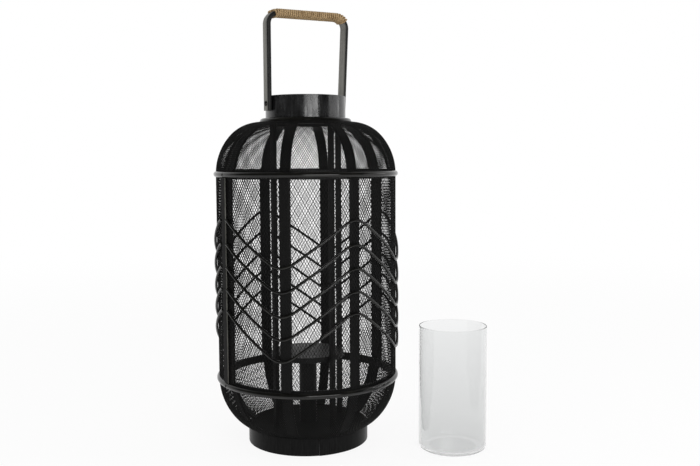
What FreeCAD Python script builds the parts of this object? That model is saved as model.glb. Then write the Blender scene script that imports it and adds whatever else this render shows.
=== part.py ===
import FreeCAD, Part
import math
import os
import Sketcher

# A candle lantern of black slats and net, with a swinging handle and a loose glass.
# Millimetres. +Z is up, the origin is the middle of the foot on the floor, and the
# handle's two pivot pegs lie along X.

SIZES = (
    # Foot and base board
    ("foot_height", 27.5, "height of the foot ring"),
    ("foot_ledge", 28.0, "foot ring's outside beyond the posts"),
    ("foot_wall", 4.0, "wall of the foot ring"),
    ("board_thickness", 9.0, "base board let into the top of the foot"),
    ("board_fit", 0.2, "gap between the base board and the foot ring"),
    # Net and its outline
    ("lower_rise", 78.0, "foot top to the middle of the lower hoop"),
    ("wall_height", 323.0, "middle of the lower hoop to middle of the upper hoop"),
    ("dome_rise", 81.0, "middle of the upper hoop to the flat of the dome"),
    ("net_radius", 142.0, "outside of the net on the straight wall"),
    ("net_thickness", 1.0, "strand thickness of the net"),
    ("net_edge_gap", 0.3, "gap between the net's top edge and the collar"),
    ("net_border", 10.0, "closed border of the net beside a hoop"),
    ("net_bar", 7.0, "bar between two openings of the net"),
    ("net_overcut", 1.0, "how far an opening is cut beyond both faces of the net"),
    # Ribs and the bands behind them
    ("rib_width", 16.0, "width of a rib slat"),
    ("wide_rib_width", 26.0, "width of the first rib, a double slat"),
    ("rib_thickness", 4.0, "thickness of a rib slat"),
    ("rib_net_gap", 0.8, "gap between a rib's middle and the net"),
    ("rib_seat", 1.2, "rib's inside above the lowest point of the oval, at the foot"),
    ("rib_end_gap", 0.4, "gap between a rib's upper end and the top ring"),
    ("band_height", 13.0, "height of the flat bands behind the ribs"),
    ("band_thickness", 3.0, "thickness of those bands"),
    ("band_gap", 0.5, "gap between the bands and the ribs"),
    # Half-round hoops over the net
    ("hoop_height", 9.0, "height of the half-round hoops"),
    ("hoop_depth", 3.5, "how far a hoop stands out"),
    ("hoop_gap", 0.15, "gap between a hoop and the net"),
    # Top ring, collar and the hoop round the collar
    ("ring_thickness", 3.5, "thickness of the top ring"),
    ("ring_ledge", 6.0, "top ring beyond the collar's outside"),
    ("ring_net_gap", 0.3, "gap between the top ring and the net over it"),
    ("ring_hole_play", 1.0, "top ring's hole beyond the collar's bore"),
    ("collar_radius", 63.0, "outside of the collar"),
    ("collar_wall", 3.5, "wall of the collar"),
    ("collar_height", 41.0, "height of the collar above the top ring"),
    ("collar_shoulder", 3.0, "flat of the dome beyond the top ring"),
    ("collar_hoop_width", 9.0, "width of the hoop round the collar's base"),
    ("collar_hoop_height", 5.5, "height of that hoop"),
    ("collar_hoop_gap", 0.3, "gap between that hoop and the collar"),
    ("seam_width", 0.8, "open joint where a bent strip's ends meet"),
    ("seam_depth", 0.8, "depth of that joint"),
    # Inside: posts, column and platform
    ("post_inset", 1.0, "top ring's outside beyond the posts"),
    ("post_depth", 7.0, "post, along the radius"),
    ("post_width", 7.0, "post, across the radius"),
    ("column_radius", 14.0, "column under the platform"),
    ("platform_gap", 3.0, "gap between the platform's rim and the posts"),
    ("platform_thickness", 8.0, "thickness of the platform"),
    ("platform_rise", 115.5, "base board's top to the platform's top"),
    # Wave rods and the slat over the net's seam
    ("rod_diameter", 4.0, "wave rod"),
    ("rod_gap", 0.3, "gap between a wave rod and the net"),
    ("first_peak_drop", 66.5, "upper hoop's middle to the first rod's peaks"),
    ("last_valley_rise", 53.3, "lower hoop's middle to the last rod's valleys"),
    ("wave_depth", 68.0, "peak to valley of a wave rod"),
    ("slat_width", 13.0, "slat that covers the net's seam"),
    ("slat_thickness", 2.5, "thickness of that slat"),
    ("slat_gap", 0.2, "gap between the slat and what it lies against"),
    # Nails through the hoops
    ("nail_shank_radius", 0.8, "nail through a hoop's joint"),
    ("nail_head_radius", 1.6, "head of that nail"),
    ("nail_head_height", 0.8, "height of the head"),
    ("nail_fit", 0.05, "gap round the nail in the hoop"),
    # Handle, pegs and twine
    ("handle_width", 17.0, "width of the bent handle strip"),
    ("handle_thickness", 6.5, "thickness of the handle strip"),
    ("handle_edge", 2.5, "rounding of the strip's edges"),
    ("handle_side_gap", 0.4, "gap between a leg and the collar"),
    ("handle_reach", 140.3, "pivot to the middle of the crossbar"),
    ("handle_bend", 18.0, "middle radius of the handle's corners"),
    ("handle_lean", 7.5, "how far the +X leg leans out at the crossbar"),
    ("leg_tail", 10.5, "leg below the pivot"),
    ("pivot_drop", 12.5, "collar's top to the pivot"),
    ("peg_radius", 4.0, "pivot peg"),
    ("peg_fit", 0.05, "gap round a peg in the collar"),
    ("peg_running_fit", 0.06, "gap round a peg in the leg that turns on it"),
    ("peg_stand", 1.5, "peg beyond the leg"),
    ("peg_inset", 0.2, "peg's inner end short of the collar's bore"),
    ("twine_diameter", 2.4, "twine wound on the crossbar"),
    ("twine_gap", 0.3, "gap between the twine and the strip"),
    ("twine_spacing", 1.2, "least gap between two turns"),
    # Glass
    ("glass_radius", 52.5, "outside of the glass"),
    ("glass_wall", 2.2, "wall of the glass"),
    ("glass_height", 193.0, "height of the glass"),
    ("glass_floor", 4.0, "floor of the glass"),
    ("glass_edge", 6.0, "outer rounding of the glass at its floor"),
    ("glass_gap", 36.0, "clear floor between the hoops and the glass"),
)

# Bearings in degrees; the ribs and posts are set by eye, a little unevenly
RIB_BEARINGS = (2.0, 47.0, 92.0, 137.0, 183.5, 227.0, 270.5, 317.0)
POST_BEARINGS = (6.0, 89.0, 189.5, 276.5)
ROD_COUNT = 5
WAVES_ROUND = 4
MOST_TWINE_TURNS = 24
NET_COLUMNS = 24
WALL_ROWS = 6
ARC_ROWS = 1
NET_BEARING = 2.0
COLLAR_SEAM_BEARING = -102.0
FOOT_SEAM_BEARING = -110.0
GLASS_BEARING = -45.4
ROUNDING_SHARE = 0.16
EDGE_SHARE = 0.45
STRAIGHT_ENOUGH = 1e-5
SAME_TURN = 0.01
VOLUME_TOLERANCE = 0.01
POINTS_PER_TURN = 32

doc = FreeCAD.newDocument("CandleLantern")
nodes = []


class Size:
    """A length: its number and the expression that ties it to the sheet."""

    def __init__(self, value, text):
        self.value = value
        self.text = text

    def __add__(self, other):
        other = as_size(other)
        return Size(self.value + other.value, f"({self.text} + {other.text})")

    def __sub__(self, other):
        other = as_size(other)
        return Size(self.value - other.value, f"({self.text} - {other.text})")

    def __mul__(self, other):
        other = as_size(other)
        return Size(self.value * other.value, f"({self.text} * {other.text})")

    def __truediv__(self, other):
        other = as_size(other)
        return Size(self.value / other.value, f"({self.text} / {other.text})")

    def __neg__(self):
        return Size(-self.value, f"(0 - {self.text})")

    def root(self):
        return Size(math.sqrt(self.value), f"sqrt({self.text})")

    def cosine(self):
        return Size(math.cos(math.radians(self.value)), f"cos({self.text})")

    def sine(self):
        return Size(math.sin(math.radians(self.value)), f"sin({self.text})")

    def turn(self):
        """The angle with this tangent, as a number of degrees."""
        return Size(math.degrees(math.atan(self.value)), f"(atan({self.text}) / 1 deg)")

    def degrees(self):
        """A number of radians as a number of degrees."""
        return Size(math.degrees(self.value), f"({self.text} * 180 / pi)")

    def at_most(self, other):
        return Size(min(self.value, other.value), f"min({self.text}; {other.text})")


def as_size(number):
    if isinstance(number, Size):
        return number
    return Size(float(number), repr(float(number)))


def make_sheet():
    """Put the driving dimensions in a spreadsheet and return them by name."""
    sheet = doc.addObject("Spreadsheet::Sheet", "Sizes")
    for row, (alias, value, note) in enumerate(SIZES, start=1):
        sheet.set(f"A{row}", note)
        sheet.set(f"B{row}", str(value))
        sheet.setAlias(f"B{row}", alias)
    doc.recompute()
    return {alias: Size(float(sheet.get(alias)), f"Sizes.{alias}") for alias, _, _ in SIZES}


size = make_sheet()
worked_values = doc.addObject("App::VarSet", "Worked")


def worked(name, length):
    """Keep a worked-out length under its own name, so that expressions stay short."""
    worked_values.addProperty("App::PropertyFloat", name)
    setattr(worked_values, name, length.value)
    worked_values.setExpression(name, length.text)
    return Size(length.value, f"Worked.{name}")


# Heights
foot_top = size["foot_height"]
lower_level = worked("lower_level", foot_top + size["lower_rise"])
upper_level = worked("upper_level", lower_level + size["wall_height"])
dome_top = worked("dome_top", upper_level + size["dome_rise"])

# Depths below the net's outside: the rib's two faces, and the oval's lowest point
rib_outside = worked("rib_outside", size["net_thickness"] + size["rib_net_gap"])
rib_inside = worked("rib_inside", rib_outside + size["rib_thickness"])
oval_overrun = worked("oval_overrun", rib_inside + size["rib_seat"])

ring_top = worked("ring_top", dome_top - size["net_thickness"] - size["ring_net_gap"])
ring_bottom = worked("ring_bottom", ring_top - size["ring_thickness"])
collar_top = worked("collar_top", ring_top + size["collar_height"])
pivot_height = worked("pivot_height", collar_top - size["pivot_drop"])
crossbar_height = worked("crossbar_height", pivot_height + size["handle_reach"])
leg_bottom = worked("leg_bottom", pivot_height - size["leg_tail"])
platform_top = worked("platform_top", foot_top + size["platform_rise"])
platform_bottom = worked("platform_bottom", platform_top - size["platform_thickness"])

# Radii
collar_bore = worked("collar_bore", size["collar_radius"] - size["collar_wall"])
ring_outside = worked("ring_outside", size["collar_radius"] + size["ring_ledge"])
dome_flat = worked("dome_flat", ring_outside + size["collar_shoulder"])
post_outside = worked("post_outside", ring_outside - size["post_inset"])
post_inside = worked("post_inside", post_outside - size["post_depth"])
foot_radius = worked("foot_radius", post_outside + size["foot_ledge"])
hoop_inside = worked("hoop_inside", size["net_radius"] + size["hoop_gap"])
hoop_outside = worked("hoop_outside", hoop_inside + size["hoop_depth"])
leg_inside = worked("leg_inside", size["collar_radius"] + size["handle_side_gap"])
leg_middle = worked("leg_middle", leg_inside + size["handle_thickness"] / 2)
leg_outside = worked("leg_outside", leg_inside + size["handle_thickness"])


def bind(thing, **properties):
    """Tie properties to sizes; a double underscore stands for a dot."""
    for name, length in properties.items():
        thing.setExpression(name.replace("__", "."), as_size(length).text)


def node(thing, label):
    thing.Label = label
    nodes.append(thing)
    return thing


def turned(degrees):
    return FreeCAD.Placement(FreeCAD.Vector(), FreeCAD.Rotation(FreeCAD.Vector(0, 0, 1), degrees))


# Sketches

def sketch_on(body, role, name, lift=None):
    """A sketch on one of the body's origin planes, lifted off it if asked."""
    sketch = body.newObject("Sketcher::SketchObject", name)
    plane = next(item for item in body.Origin.OriginFeatures if item.Role == role)
    sketch.AttachmentSupport = [(plane, "")]
    sketch.MapMode = "FlatFace"
    if lift is not None:
        sketch.AttachmentOffset = FreeCAD.Placement(FreeCAD.Vector(0, 0, lift.value), FreeCAD.Rotation())
        bind(sketch, AttachmentOffset__Base__z=lift)
    return sketch


def flat_point(point):
    return FreeCAD.Vector(as_size(point[0]).value, as_size(point[1]).value, 0)


def arc_middle(start, end, centre, radius):
    """The point halfway along an arc of under a half circle."""
    outward = (start + end) * 0.5 - centre
    outward.normalize()
    return centre + outward * radius


def hold(sketch, kind, length, *where):
    index = sketch.addConstraint(Sketcher.Constraint(kind, *where, abs(length.value)))
    text = length.text if length.value >= 0 else (-length).text
    sketch.setExpression(f"Constraints[{index}]", text)


def hold_point(sketch, edge, end, point):
    """Hold an edge's end at a point given by two lengths."""
    for kind, axis, length in (("DistanceX", -2, point[0]), ("DistanceY", -1, point[1])):
        length = as_size(length)
        if length.value > 0:
            hold(sketch, kind, length, -1, 1, edge, end)
        elif length.value < 0:
            hold(sketch, kind, length, edge, end, -1, 1)
        else:
            sketch.addConstraint(Sketcher.Constraint("PointOnObject", edge, end, axis))


def nearest_end(sketch, edge, point):
    start_gap = (sketch.getPoint(edge, 1) - point).Length
    end_gap = (sketch.getPoint(edge, 2) - point).Length
    return 1 if start_gap <= end_gap else 2


def draw_outline(sketch, points, bends, closed=True):
    """Draw edges from point to point. A bend is None for a straight edge, or the
    arc's (centre x, centre y, radius)."""
    ends = []
    count = len(points) if closed else len(points) - 1
    for index in range(count):
        start = flat_point(points[index])
        end = flat_point(points[(index + 1) % len(points)])
        bend = bends[index]
        if bend is None:
            edge = sketch.addGeometry(Part.LineSegment(start, end))
        else:
            radius = as_size(bend[2])
            middle = arc_middle(start, end, flat_point(bend), radius.value)
            edge = sketch.addGeometry(Part.Arc(start, middle, end))
        first = nearest_end(sketch, edge, start)
        ends.append((edge, first, 3 - first))
        if index:
            sketch.addConstraint(Sketcher.Constraint("Coincident", ends[-2][0], ends[-2][2], edge, first))
        hold_point(sketch, edge, first, points[index])
        if bend is not None:
            hold(sketch, "Radius", radius, edge)
    last = ends[-1]
    if closed:
        sketch.addConstraint(Sketcher.Constraint("Coincident", last[0], last[2], ends[0][0], ends[0][1]))
    else:
        hold_point(sketch, last[0], last[2], points[-1])


def draw_circle(sketch, radius, x=0, y=0):
    circle = Part.Circle(flat_point((x, y)), FreeCAD.Vector(0, 0, 1), radius.value)
    edge = sketch.addGeometry(circle)
    hold_point(sketch, edge, 3, (x, y))
    hold(sketch, "Radius", radius, edge)


# Simple solids

def new_body(name):
    return doc.addObject("PartDesign::Body", name)


def cylinder(name, radius, bottom, height):
    solid = doc.addObject("Part::Cylinder", name)
    bind(solid, Radius=radius, Height=height, Placement__Base__z=bottom)
    return solid


def cut(name, base, tool):
    result = doc.addObject("Part::Cut", name)
    result.Base = base
    result.Tool = tool
    return result


def tube(name, outside, inside, bottom, height):
    """A ring with a straight wall, cut from two cylinders."""
    outer = cylinder(f"{name}_outer", outside, bottom, height)
    inner = cylinder(f"{name}_inner", inside, bottom, height)
    return cut(name, outer, inner)


def block(name, low, high, bearing=0.0):
    """A box between two corners, then turned about Z."""
    solid = doc.addObject("Part::Box", name)
    solid.Placement = turned(bearing)
    bind(solid, Length=high[0] - low[0], Width=high[1] - low[1], Height=high[2] - low[2])
    cosine = math.cos(math.radians(bearing))
    sine = math.sin(math.radians(bearing))
    bind(
        solid,
        Placement__Base__x=low[0] * cosine - low[1] * sine,
        Placement__Base__y=low[0] * sine + low[1] * cosine,
        Placement__Base__z=low[2],
    )
    return solid


def rod_along_x(name, radius, start, length, height):
    solid = doc.addObject("Part::Cylinder", name)
    solid.Placement.Rotation = FreeCAD.Rotation(FreeCAD.Vector(0, 1, 0), 90)
    bind(
        solid,
        Radius=radius,
        Height=length,
        Placement__Base__x=start,
        Placement__Base__z=height,
    )
    return solid


def group(label, members):
    compound = doc.addObject("Part::Compound", label)
    compound.Links = members
    return node(compound, label)


def revolve(body, points, bends):
    """Turn a closed outline in the XZ plane about the Z axis."""
    sketch = sketch_on(body, "XZ_Plane", f"{body.Name}_outline")
    draw_outline(sketch, points, bends)
    turn = body.newObject("PartDesign::Revolution", f"{body.Name}_turn")
    turn.Profile = sketch
    turn.ReferenceAxis = (sketch, ["V_Axis"])
    turn.Angle = 360
    body.Tip = turn
    return turn


# The lantern's outline is a straight wall between two quarter ovals, each drawn with
# two compass arcs: a side arc next to the wall and a crown arc next to the flat.

class Oval:
    """A quarter oval from the wall at net_radius to its flat, up or down."""

    def __init__(self, name, flat, rise, level, sign):
        self.flat = flat
        self.level = level
        self.sign = sign
        span = worked(f"{name}_span", size["net_radius"] - flat)
        rise = worked(f"{name}_height", rise)
        slant = worked(f"{name}_slant", (span * span + rise * rise).root())
        near = (slant - rise + span) / 2
        self.crown = worked(f"{name}_crown", near * slant / rise)
        self.side = worked(f"{name}_side", (slant - near) * slant / span)
        self.side_x = worked(f"{name}_side_x", size["net_radius"] - self.side)
        self.crown_z = worked(f"{name}_crown_z", level + (rise - self.crown) * sign)
        self.flat_z = worked(f"{name}_flat_z", level + rise * sign)
        self.lean_x = worked(f"{name}_lean_x", rise / slant)
        self.lean_z = worked(f"{name}_lean_z", span / slant)
        self.joint_turn = worked(f"{name}_joint_turn", (span / rise).turn())

    def side_arc(self, depth):
        return (self.side_x, self.level, self.side - depth)

    def crown_arc(self, depth):
        return (self.flat, self.crown_z, self.crown - depth)

    def wall_point(self, depth):
        return (size["net_radius"] - depth, self.level)

    def joint(self, depth):
        reach = self.crown - depth
        return (self.flat + self.lean_x * reach, self.crown_z + self.lean_z * reach * self.sign)

    def flat_point(self, depth):
        return (self.flat, self.flat_z - as_size(depth) * self.sign)

    def crown_radius_at(self, depth, height):
        """Radius where the crown arc, sunk by depth, crosses a height."""
        reach = self.crown - depth
        drop = height - self.crown_z
        return self.flat + (reach * reach - drop * drop).root()


dome = Oval("dome", dome_flat, size["dome_rise"], upper_level, 1)
belly = Oval("belly", post_outside, size["lower_rise"] + oval_overrun, lower_level, -1)


# Foot, base board, column and platform

def seam_groove(name, outside, bottom, height, bearing):
    """The open joint of a strip bent into a ring."""
    half = size["seam_width"] / 2
    low = (outside - size["seam_depth"], -half, bottom)
    high = (outside + size["seam_depth"], half, bottom + height)
    return block(name, low, high, bearing)


def make_foot():
    inside = foot_radius - size["foot_wall"]
    wall = tube("foot_wall_ring", foot_radius, inside, as_size(0), foot_top)
    groove = seam_groove("foot_seam", foot_radius, as_size(0), foot_top, FOOT_SEAM_BEARING)
    node(cut("foot_ring", wall, groove), "foot_ring")
    board_radius = inside - size["board_fit"]
    board_bottom = foot_top - size["board_thickness"]
    node(cylinder("board", board_radius, board_bottom, size["board_thickness"]), "base_board")


def make_candle_stand():
    column_height = platform_bottom - foot_top
    node(cylinder("column", size["column_radius"], foot_top, column_height), "candle_column")
    radius = post_inside - size["platform_gap"]
    platform = cylinder("platform", radius, platform_bottom, size["platform_thickness"])
    node(platform, "candle_platform")


# Posts, top ring and collar

def make_posts():
    half = size["post_width"] / 2
    low = (post_inside, -half, foot_top)
    high = (post_outside, half, ring_bottom)
    for number, bearing in enumerate(POST_BEARINGS, start=1):
        node(block(f"post_bar_{number}", low, high, bearing), f"post_{number}")


def make_top_ring():
    inside = collar_bore + size["ring_hole_play"]
    node(tube("ring", ring_outside, inside, ring_bottom, size["ring_thickness"]), "top_ring")


def make_collar():
    radius = size["collar_radius"]
    wall = tube("collar_wall_ring", radius, collar_bore, ring_top, size["collar_height"])
    hole_radius = size["peg_radius"] + size["peg_fit"]
    holes = rod_along_x("collar_peg_holes", hole_radius, -leg_outside, leg_outside * 2, pivot_height)
    holed = cut("collar_holed", wall, holes)
    groove = seam_groove("collar_seam", radius, ring_top, size["collar_height"], COLLAR_SEAM_BEARING)
    node(cut("collar_band", holed, groove), "collar")


def make_collar_hoop():
    """A half-round ring that lies on the dome's flat and hides the net's top edge."""
    inside = size["collar_radius"] + size["collar_hoop_gap"]
    half = size["collar_hoop_width"] / 2
    rise = size["collar_hoop_height"]
    round_radius = (half * half + rise * rise) / (rise * 2)
    crown = dome_top + rise
    centre = (inside + half, crown - round_radius, round_radius)
    points = [(inside, dome_top), (inside + half * 2, dome_top), (inside + half, crown)]
    body = new_body("collar_hoop_ring")
    revolve(body, points, [None, centre, centre])
    node(body, "collar_hoop")


# Ribs and bands

def rib_outline():
    """Outline of a rib, up its outer face and down its inner face."""
    end_radius = ring_outside + size["rib_end_gap"]
    points = []
    bends = []
    for depth in (rib_outside, rib_inside):
        points += [
            (belly.crown_radius_at(depth, foot_top), foot_top),
            belly.joint(depth),
            belly.wall_point(depth),
            dome.wall_point(depth),
            dome.joint(depth),
            dome.flat_point(depth),
            (end_radius, dome.flat_z - depth),
        ]
        bends += [
            belly.crown_arc(depth),
            belly.side_arc(depth),
            None,
            dome.side_arc(depth),
            dome.crown_arc(depth),
            None,
        ]
    half = len(points) // 2
    bend_half = len(bends) // 2
    loop_points = points[:half] + points[half:][::-1]
    loop_bends = bends[:bend_half] + [None] + bends[bend_half:][::-1] + [None]
    return loop_points, loop_bends


def make_ribs():
    points, bends = rib_outline()
    for number, bearing in enumerate(RIB_BEARINGS, start=1):
        width = size["wide_rib_width"] if number == 1 else size["rib_width"]
        body = new_body(f"rib_slat_{number}")
        sketch = sketch_on(body, "XZ_Plane", f"{body.Name}_outline")
        draw_outline(sketch, points, bends)
        pad = body.newObject("PartDesign::Pad", f"{body.Name}_width")
        pad.Profile = sketch
        pad.SideType = "Symmetric"
        bind(pad, Length=width)
        body.Tip = pad
        body.Placement = turned(bearing)
        node(body, f"rib_{number}")


def make_bands():
    outside = size["net_radius"] - rib_inside - size["band_gap"]
    inside = outside - size["band_thickness"]
    height = size["band_height"]
    node(tube("lower_band", outside, inside, lower_level - height / 2, height), "lower_inner_band")
    node(tube("upper_band", outside, inside, upper_level - height / 2, height), "upper_inner_band")


# Net: one sheet over the dome, one on the wall and one over the belly, each opened by
# a grid of cuts whose upright bars lie over the ribs

def even_rows(count, start, end, bar):
    """Spans of a number of openings with bars between them."""
    pitch = (end - start + bar) / count
    return [(start + pitch * row, start + pitch * (row + 1) - bar) for row in range(count)]


def wall_openings():
    inside = size["net_radius"] - size["net_thickness"] - size["net_overcut"]
    outside = size["net_radius"] + size["net_overcut"]
    start = lower_level + size["net_border"]
    end = upper_level - size["net_border"]
    for low, high in even_rows(WALL_ROWS, start, end, size["net_bar"]):
        points = [(inside, low), (outside, low), (outside, high), (inside, high)]
        yield points, [None] * len(points)


def arc_openings(arc, sign, start, end):
    """Openings along an arc (centre x, centre z, radius), between two turns in degrees."""
    centre_x, centre_z, radius = arc
    inside = radius - size["net_thickness"] - size["net_overcut"]
    outside = radius + size["net_overcut"]
    bar = (size["net_bar"] / radius).degrees()
    for low, high in even_rows(ARC_ROWS, start, end, bar):
        corners = ((low, inside), (low, outside), (high, outside), (high, inside))
        points = [
            (centre_x + turn.cosine() * reach, centre_z + turn.sine() * reach * sign)
            for turn, reach in corners
        ]
        yield points, [None, (centre_x, centre_z, outside), None, (centre_x, centre_z, inside)]


def side_openings(oval):
    arc = oval.side_arc(0)
    border = (size["net_border"] / oval.side).degrees()
    half_bar = (size["net_bar"] / oval.side / 2).degrees()
    return arc_openings(arc, oval.sign, border, oval.joint_turn - half_bar)


def crown_openings(oval):
    bar = (size["net_bar"] / oval.crown).degrees()
    end = as_size(90) - bar
    return arc_openings(oval.crown_arc(0), oval.sign, oval.joint_turn + bar / 2, end)


def open_net(body, openings):
    """Cut a column of openings through a net's sheet and repeat it round the lantern."""
    sketch = sketch_on(body, "XZ_Plane", f"{body.Name}_openings")
    for points, bends in openings:
        draw_outline(sketch, points, bends)
    groove = body.newObject("PartDesign::Groove", f"{body.Name}_column")
    groove.Profile = sketch
    groove.ReferenceAxis = (sketch, ["V_Axis"])
    groove.Midplane = True
    pitch = as_size(360.0 / NET_COLUMNS)
    bind(groove, Angle=pitch - (size["net_bar"] / size["net_radius"]).degrees())
    body.Tip = groove
    doc.recompute()
    pattern = body.newObject("PartDesign::PolarPattern", f"{body.Name}_grid")
    pattern.Originals = [groove]
    pattern.Axis = (sketch, ["V_Axis"])
    pattern.Angle = 360
    pattern.Occurrences = NET_COLUMNS
    body.Tip = pattern
    body.Placement = turned(NET_BEARING + 180.0 / NET_COLUMNS)


def make_nets():
    skin = size["net_thickness"]
    edge = size["collar_radius"] + size["net_edge_gap"]
    body = new_body("dome_sheet")
    points = [
        dome.wall_point(0), dome.joint(0), dome.flat_point(0), (edge, dome.flat_z),
        (edge, dome.flat_z - skin), dome.flat_point(skin), dome.joint(skin), dome.wall_point(skin),
    ]
    outer = [dome.side_arc(0), dome.crown_arc(0), None]
    inner = [None, dome.crown_arc(skin), dome.side_arc(skin)]
    revolve(body, points, outer + [None] + inner + [None])
    open_net(body, [*side_openings(dome), *crown_openings(dome)])
    node(body, "dome_net")

    body = new_body("wall_sheet")
    points = [belly.wall_point(0), dome.wall_point(0), dome.wall_point(skin), belly.wall_point(skin)]
    revolve(body, points, [None] * len(points))
    open_net(body, wall_openings())
    node(body, "body_net")

    body = new_body("belly_sheet")
    points = [
        belly.wall_point(0), belly.joint(0), (belly.crown_radius_at(0, foot_top), foot_top),
        (belly.crown_radius_at(skin, foot_top), foot_top), belly.joint(skin), belly.wall_point(skin),
    ]
    outer = [belly.side_arc(0), belly.crown_arc(0)]
    inner = [belly.crown_arc(skin), belly.side_arc(skin)]
    revolve(body, points, outer + [None] + inner + [None])
    open_net(body, side_openings(belly))
    node(body, "base_net")


# Hoops, their nails and the slat over the net's seam

def make_hoop(label, level):
    half = size["hoop_height"] / 2
    depth = size["hoop_depth"]
    round_radius = (half * half + depth * depth) / (depth * 2)
    centre = (hoop_outside - round_radius, level, round_radius)
    points = [(hoop_inside, level - half), (hoop_outside, level), (hoop_inside, level + half)]
    body = new_body(f"{label}_ring")
    revolve(body, points, [centre, centre, None])
    sketch = sketch_on(body, "YZ_Plane", f"{label}_nail_hole")
    draw_circle(sketch, size["nail_shank_radius"] + size["nail_fit"], 0, level)
    hole = body.newObject("PartDesign::Pocket", f"{label}_drill")
    hole.Profile = sketch
    hole.Type = "ThroughAll"
    body.Tip = hole
    node(body, label)


def make_nail(name, level):
    """A nail driven in along X from the -X side, its head on the hoop."""
    head_height = size["nail_head_height"]
    shank = rod_along_x(f"{name}_shank", size["nail_shank_radius"], -hoop_outside, size["hoop_depth"], level)
    head_start = -(hoop_outside + head_height)
    head = rod_along_x(f"{name}_head", size["nail_head_radius"], head_start, head_height, level)
    nail = doc.addObject("Part::Fuse", name)
    nail.Base = shank
    nail.Tool = head
    return nail


def make_hoops():
    make_hoop("lower_hoop", lower_level)
    make_hoop("upper_hoop", upper_level)
    group("hoop_nails", [make_nail("lower_nail", lower_level), make_nail("upper_nail", upper_level)])


def make_seam_slat():
    inside = size["net_radius"] + size["slat_gap"]
    half = size["slat_width"] / 2
    clear = size["hoop_height"] / 2 + size["slat_gap"]
    low = (-(inside + size["slat_thickness"]), -half, lower_level + clear)
    high = (-inside, half, upper_level - clear)
    node(block("slat", low, high), "seam_slat")


# Tubes on chains of arcs, for the wave rods and the twine

def tangent_arc(start, tangent, end):
    """The arc that leaves start along tangent and ends at end, or a line if it is straight."""
    chord = end - start
    along = chord * (1.0 / chord.Length)
    side = tangent - along * tangent.dot(along)
    if side.Length < STRAIGHT_ENOUGH:
        return Part.LineSegment(start, end)
    side.normalize()
    angle = math.acos(max(-1.0, min(1.0, tangent.dot(along))))
    middle = (start + end) * 0.5 + side * (chord.Length * 0.5 * math.tan(angle * 0.5))
    return Part.Arc(start, middle, end)


def biarc(start, start_tangent, end, end_tangent, reach):
    """Two arcs that leave start and reach end along the given tangents."""
    gap = end - start
    upper = gap.dot(gap) - 2 * reach * gap.dot(start_tangent)
    lower = 2 * (reach + gap.dot(end_tangent) - reach * start_tangent.dot(end_tangent))
    back = upper / lower
    near = start + start_tangent * reach
    far = end - end_tangent * back
    join = (near * back + far * reach) * (1.0 / (reach + back))
    join_tangent = far - near
    join_tangent.normalize()
    return [tangent_arc(start, start_tangent, join), tangent_arc(join, join_tangent, end)]


def tube_on(curves, start, tangent, radius):
    """A round tube along a chain of curves, checked against its section times its length."""
    path = Part.Wire([curve.toShape() for curve in curves])
    section = Part.Wire([Part.Circle(start, tangent, radius).toShape()])
    solid = path.makePipeShell([section], True, False)
    expected = math.pi * radius * radius * path.Length
    if abs(solid.Volume - expected) > VOLUME_TOLERANCE * expected:
        raise RuntimeError("tube volume is not its section times its length")
    return solid, path


def formed(label, shape):
    feature = doc.addObject("Part::Feature", label)
    feature.Shape = shape
    feature.Placement = FreeCAD.Placement()
    return node(feature, label)


def wave_drop(turn, depth, half_wave, rounding):
    """Drop below the peak, and its rate, at a turn from the peak: straight runs with
    rounded peaks and valleys."""
    rate = depth / (half_wave - rounding)
    if turn <= rounding:
        return rate * turn * turn / (2 * rounding), rate * turn / rounding
    if turn >= half_wave - rounding:
        left = half_wave - turn
        return depth - rate * left * left / (2 * rounding), rate * left / rounding
    return rate * (turn - rounding / 2), rate


def wave_turns(edge_turn, half_wave, rounding):
    """Turns round the lantern, from one edge of the seam slat to the other."""
    steps = [0.0, rounding, half_wave / 2, half_wave - rounding]
    turns = [half_wave * half + step for half in range(2 * WAVES_ROUND) for step in steps]
    last = 2 * math.pi - edge_turn
    inner = [turn for turn in turns if edge_turn + SAME_TURN < turn < last - SAME_TURN]
    return [edge_turn] + inner + [last]


def wave_point(turn, radius, peak, half_wave, rounding):
    """Point and direction on a wave rod; the seam slat is at turn 0, on the -X side."""
    half_index = int(turn // half_wave)
    within = turn - half_index * half_wave
    falling = half_index % 2 == 0
    from_peak = within if falling else half_wave - within
    drop, rate = wave_drop(from_peak, size["wave_depth"].value, half_wave, rounding)
    angle = math.pi + turn
    point = FreeCAD.Vector(radius * math.cos(angle), radius * math.sin(angle), peak - drop)
    climb = -rate if falling else rate
    tangent = FreeCAD.Vector(-radius * math.sin(angle), radius * math.cos(angle), climb)
    tangent.normalize()
    return point, tangent


def make_wave_rods():
    rod_radius = size["rod_diameter"].value / 2
    radius = size["net_radius"].value + size["rod_gap"].value + rod_radius
    half_wave = math.pi / WAVES_ROUND
    rounding = half_wave * ROUNDING_SHARE
    slat_edge = size["slat_width"].value / 2 + size["slat_gap"].value
    turns = wave_turns(math.asin(slat_edge / radius) + rod_radius / radius, half_wave, rounding)
    margins = size["first_peak_drop"] + size["wave_depth"] + size["last_valley_rise"]
    spacing = (size["wall_height"] - margins).value / (ROD_COUNT - 1)
    for number in range(ROD_COUNT):
        peak = upper_level.value - size["first_peak_drop"].value - spacing * number
        stations = [wave_point(turn, radius, peak, half_wave, rounding) for turn in turns]
        curves = []
        for (start, start_way), (end, end_way) in zip(stations, stations[1:]):
            curves += biarc(start, start_way, end, end_way, (end - start).Length / 4)
        solid, _ = tube_on(curves, stations[0][0], stations[0][1], rod_radius)
        formed(f"wave_rod_{number + 1}", solid)


# Handle, pegs and twine

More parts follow.
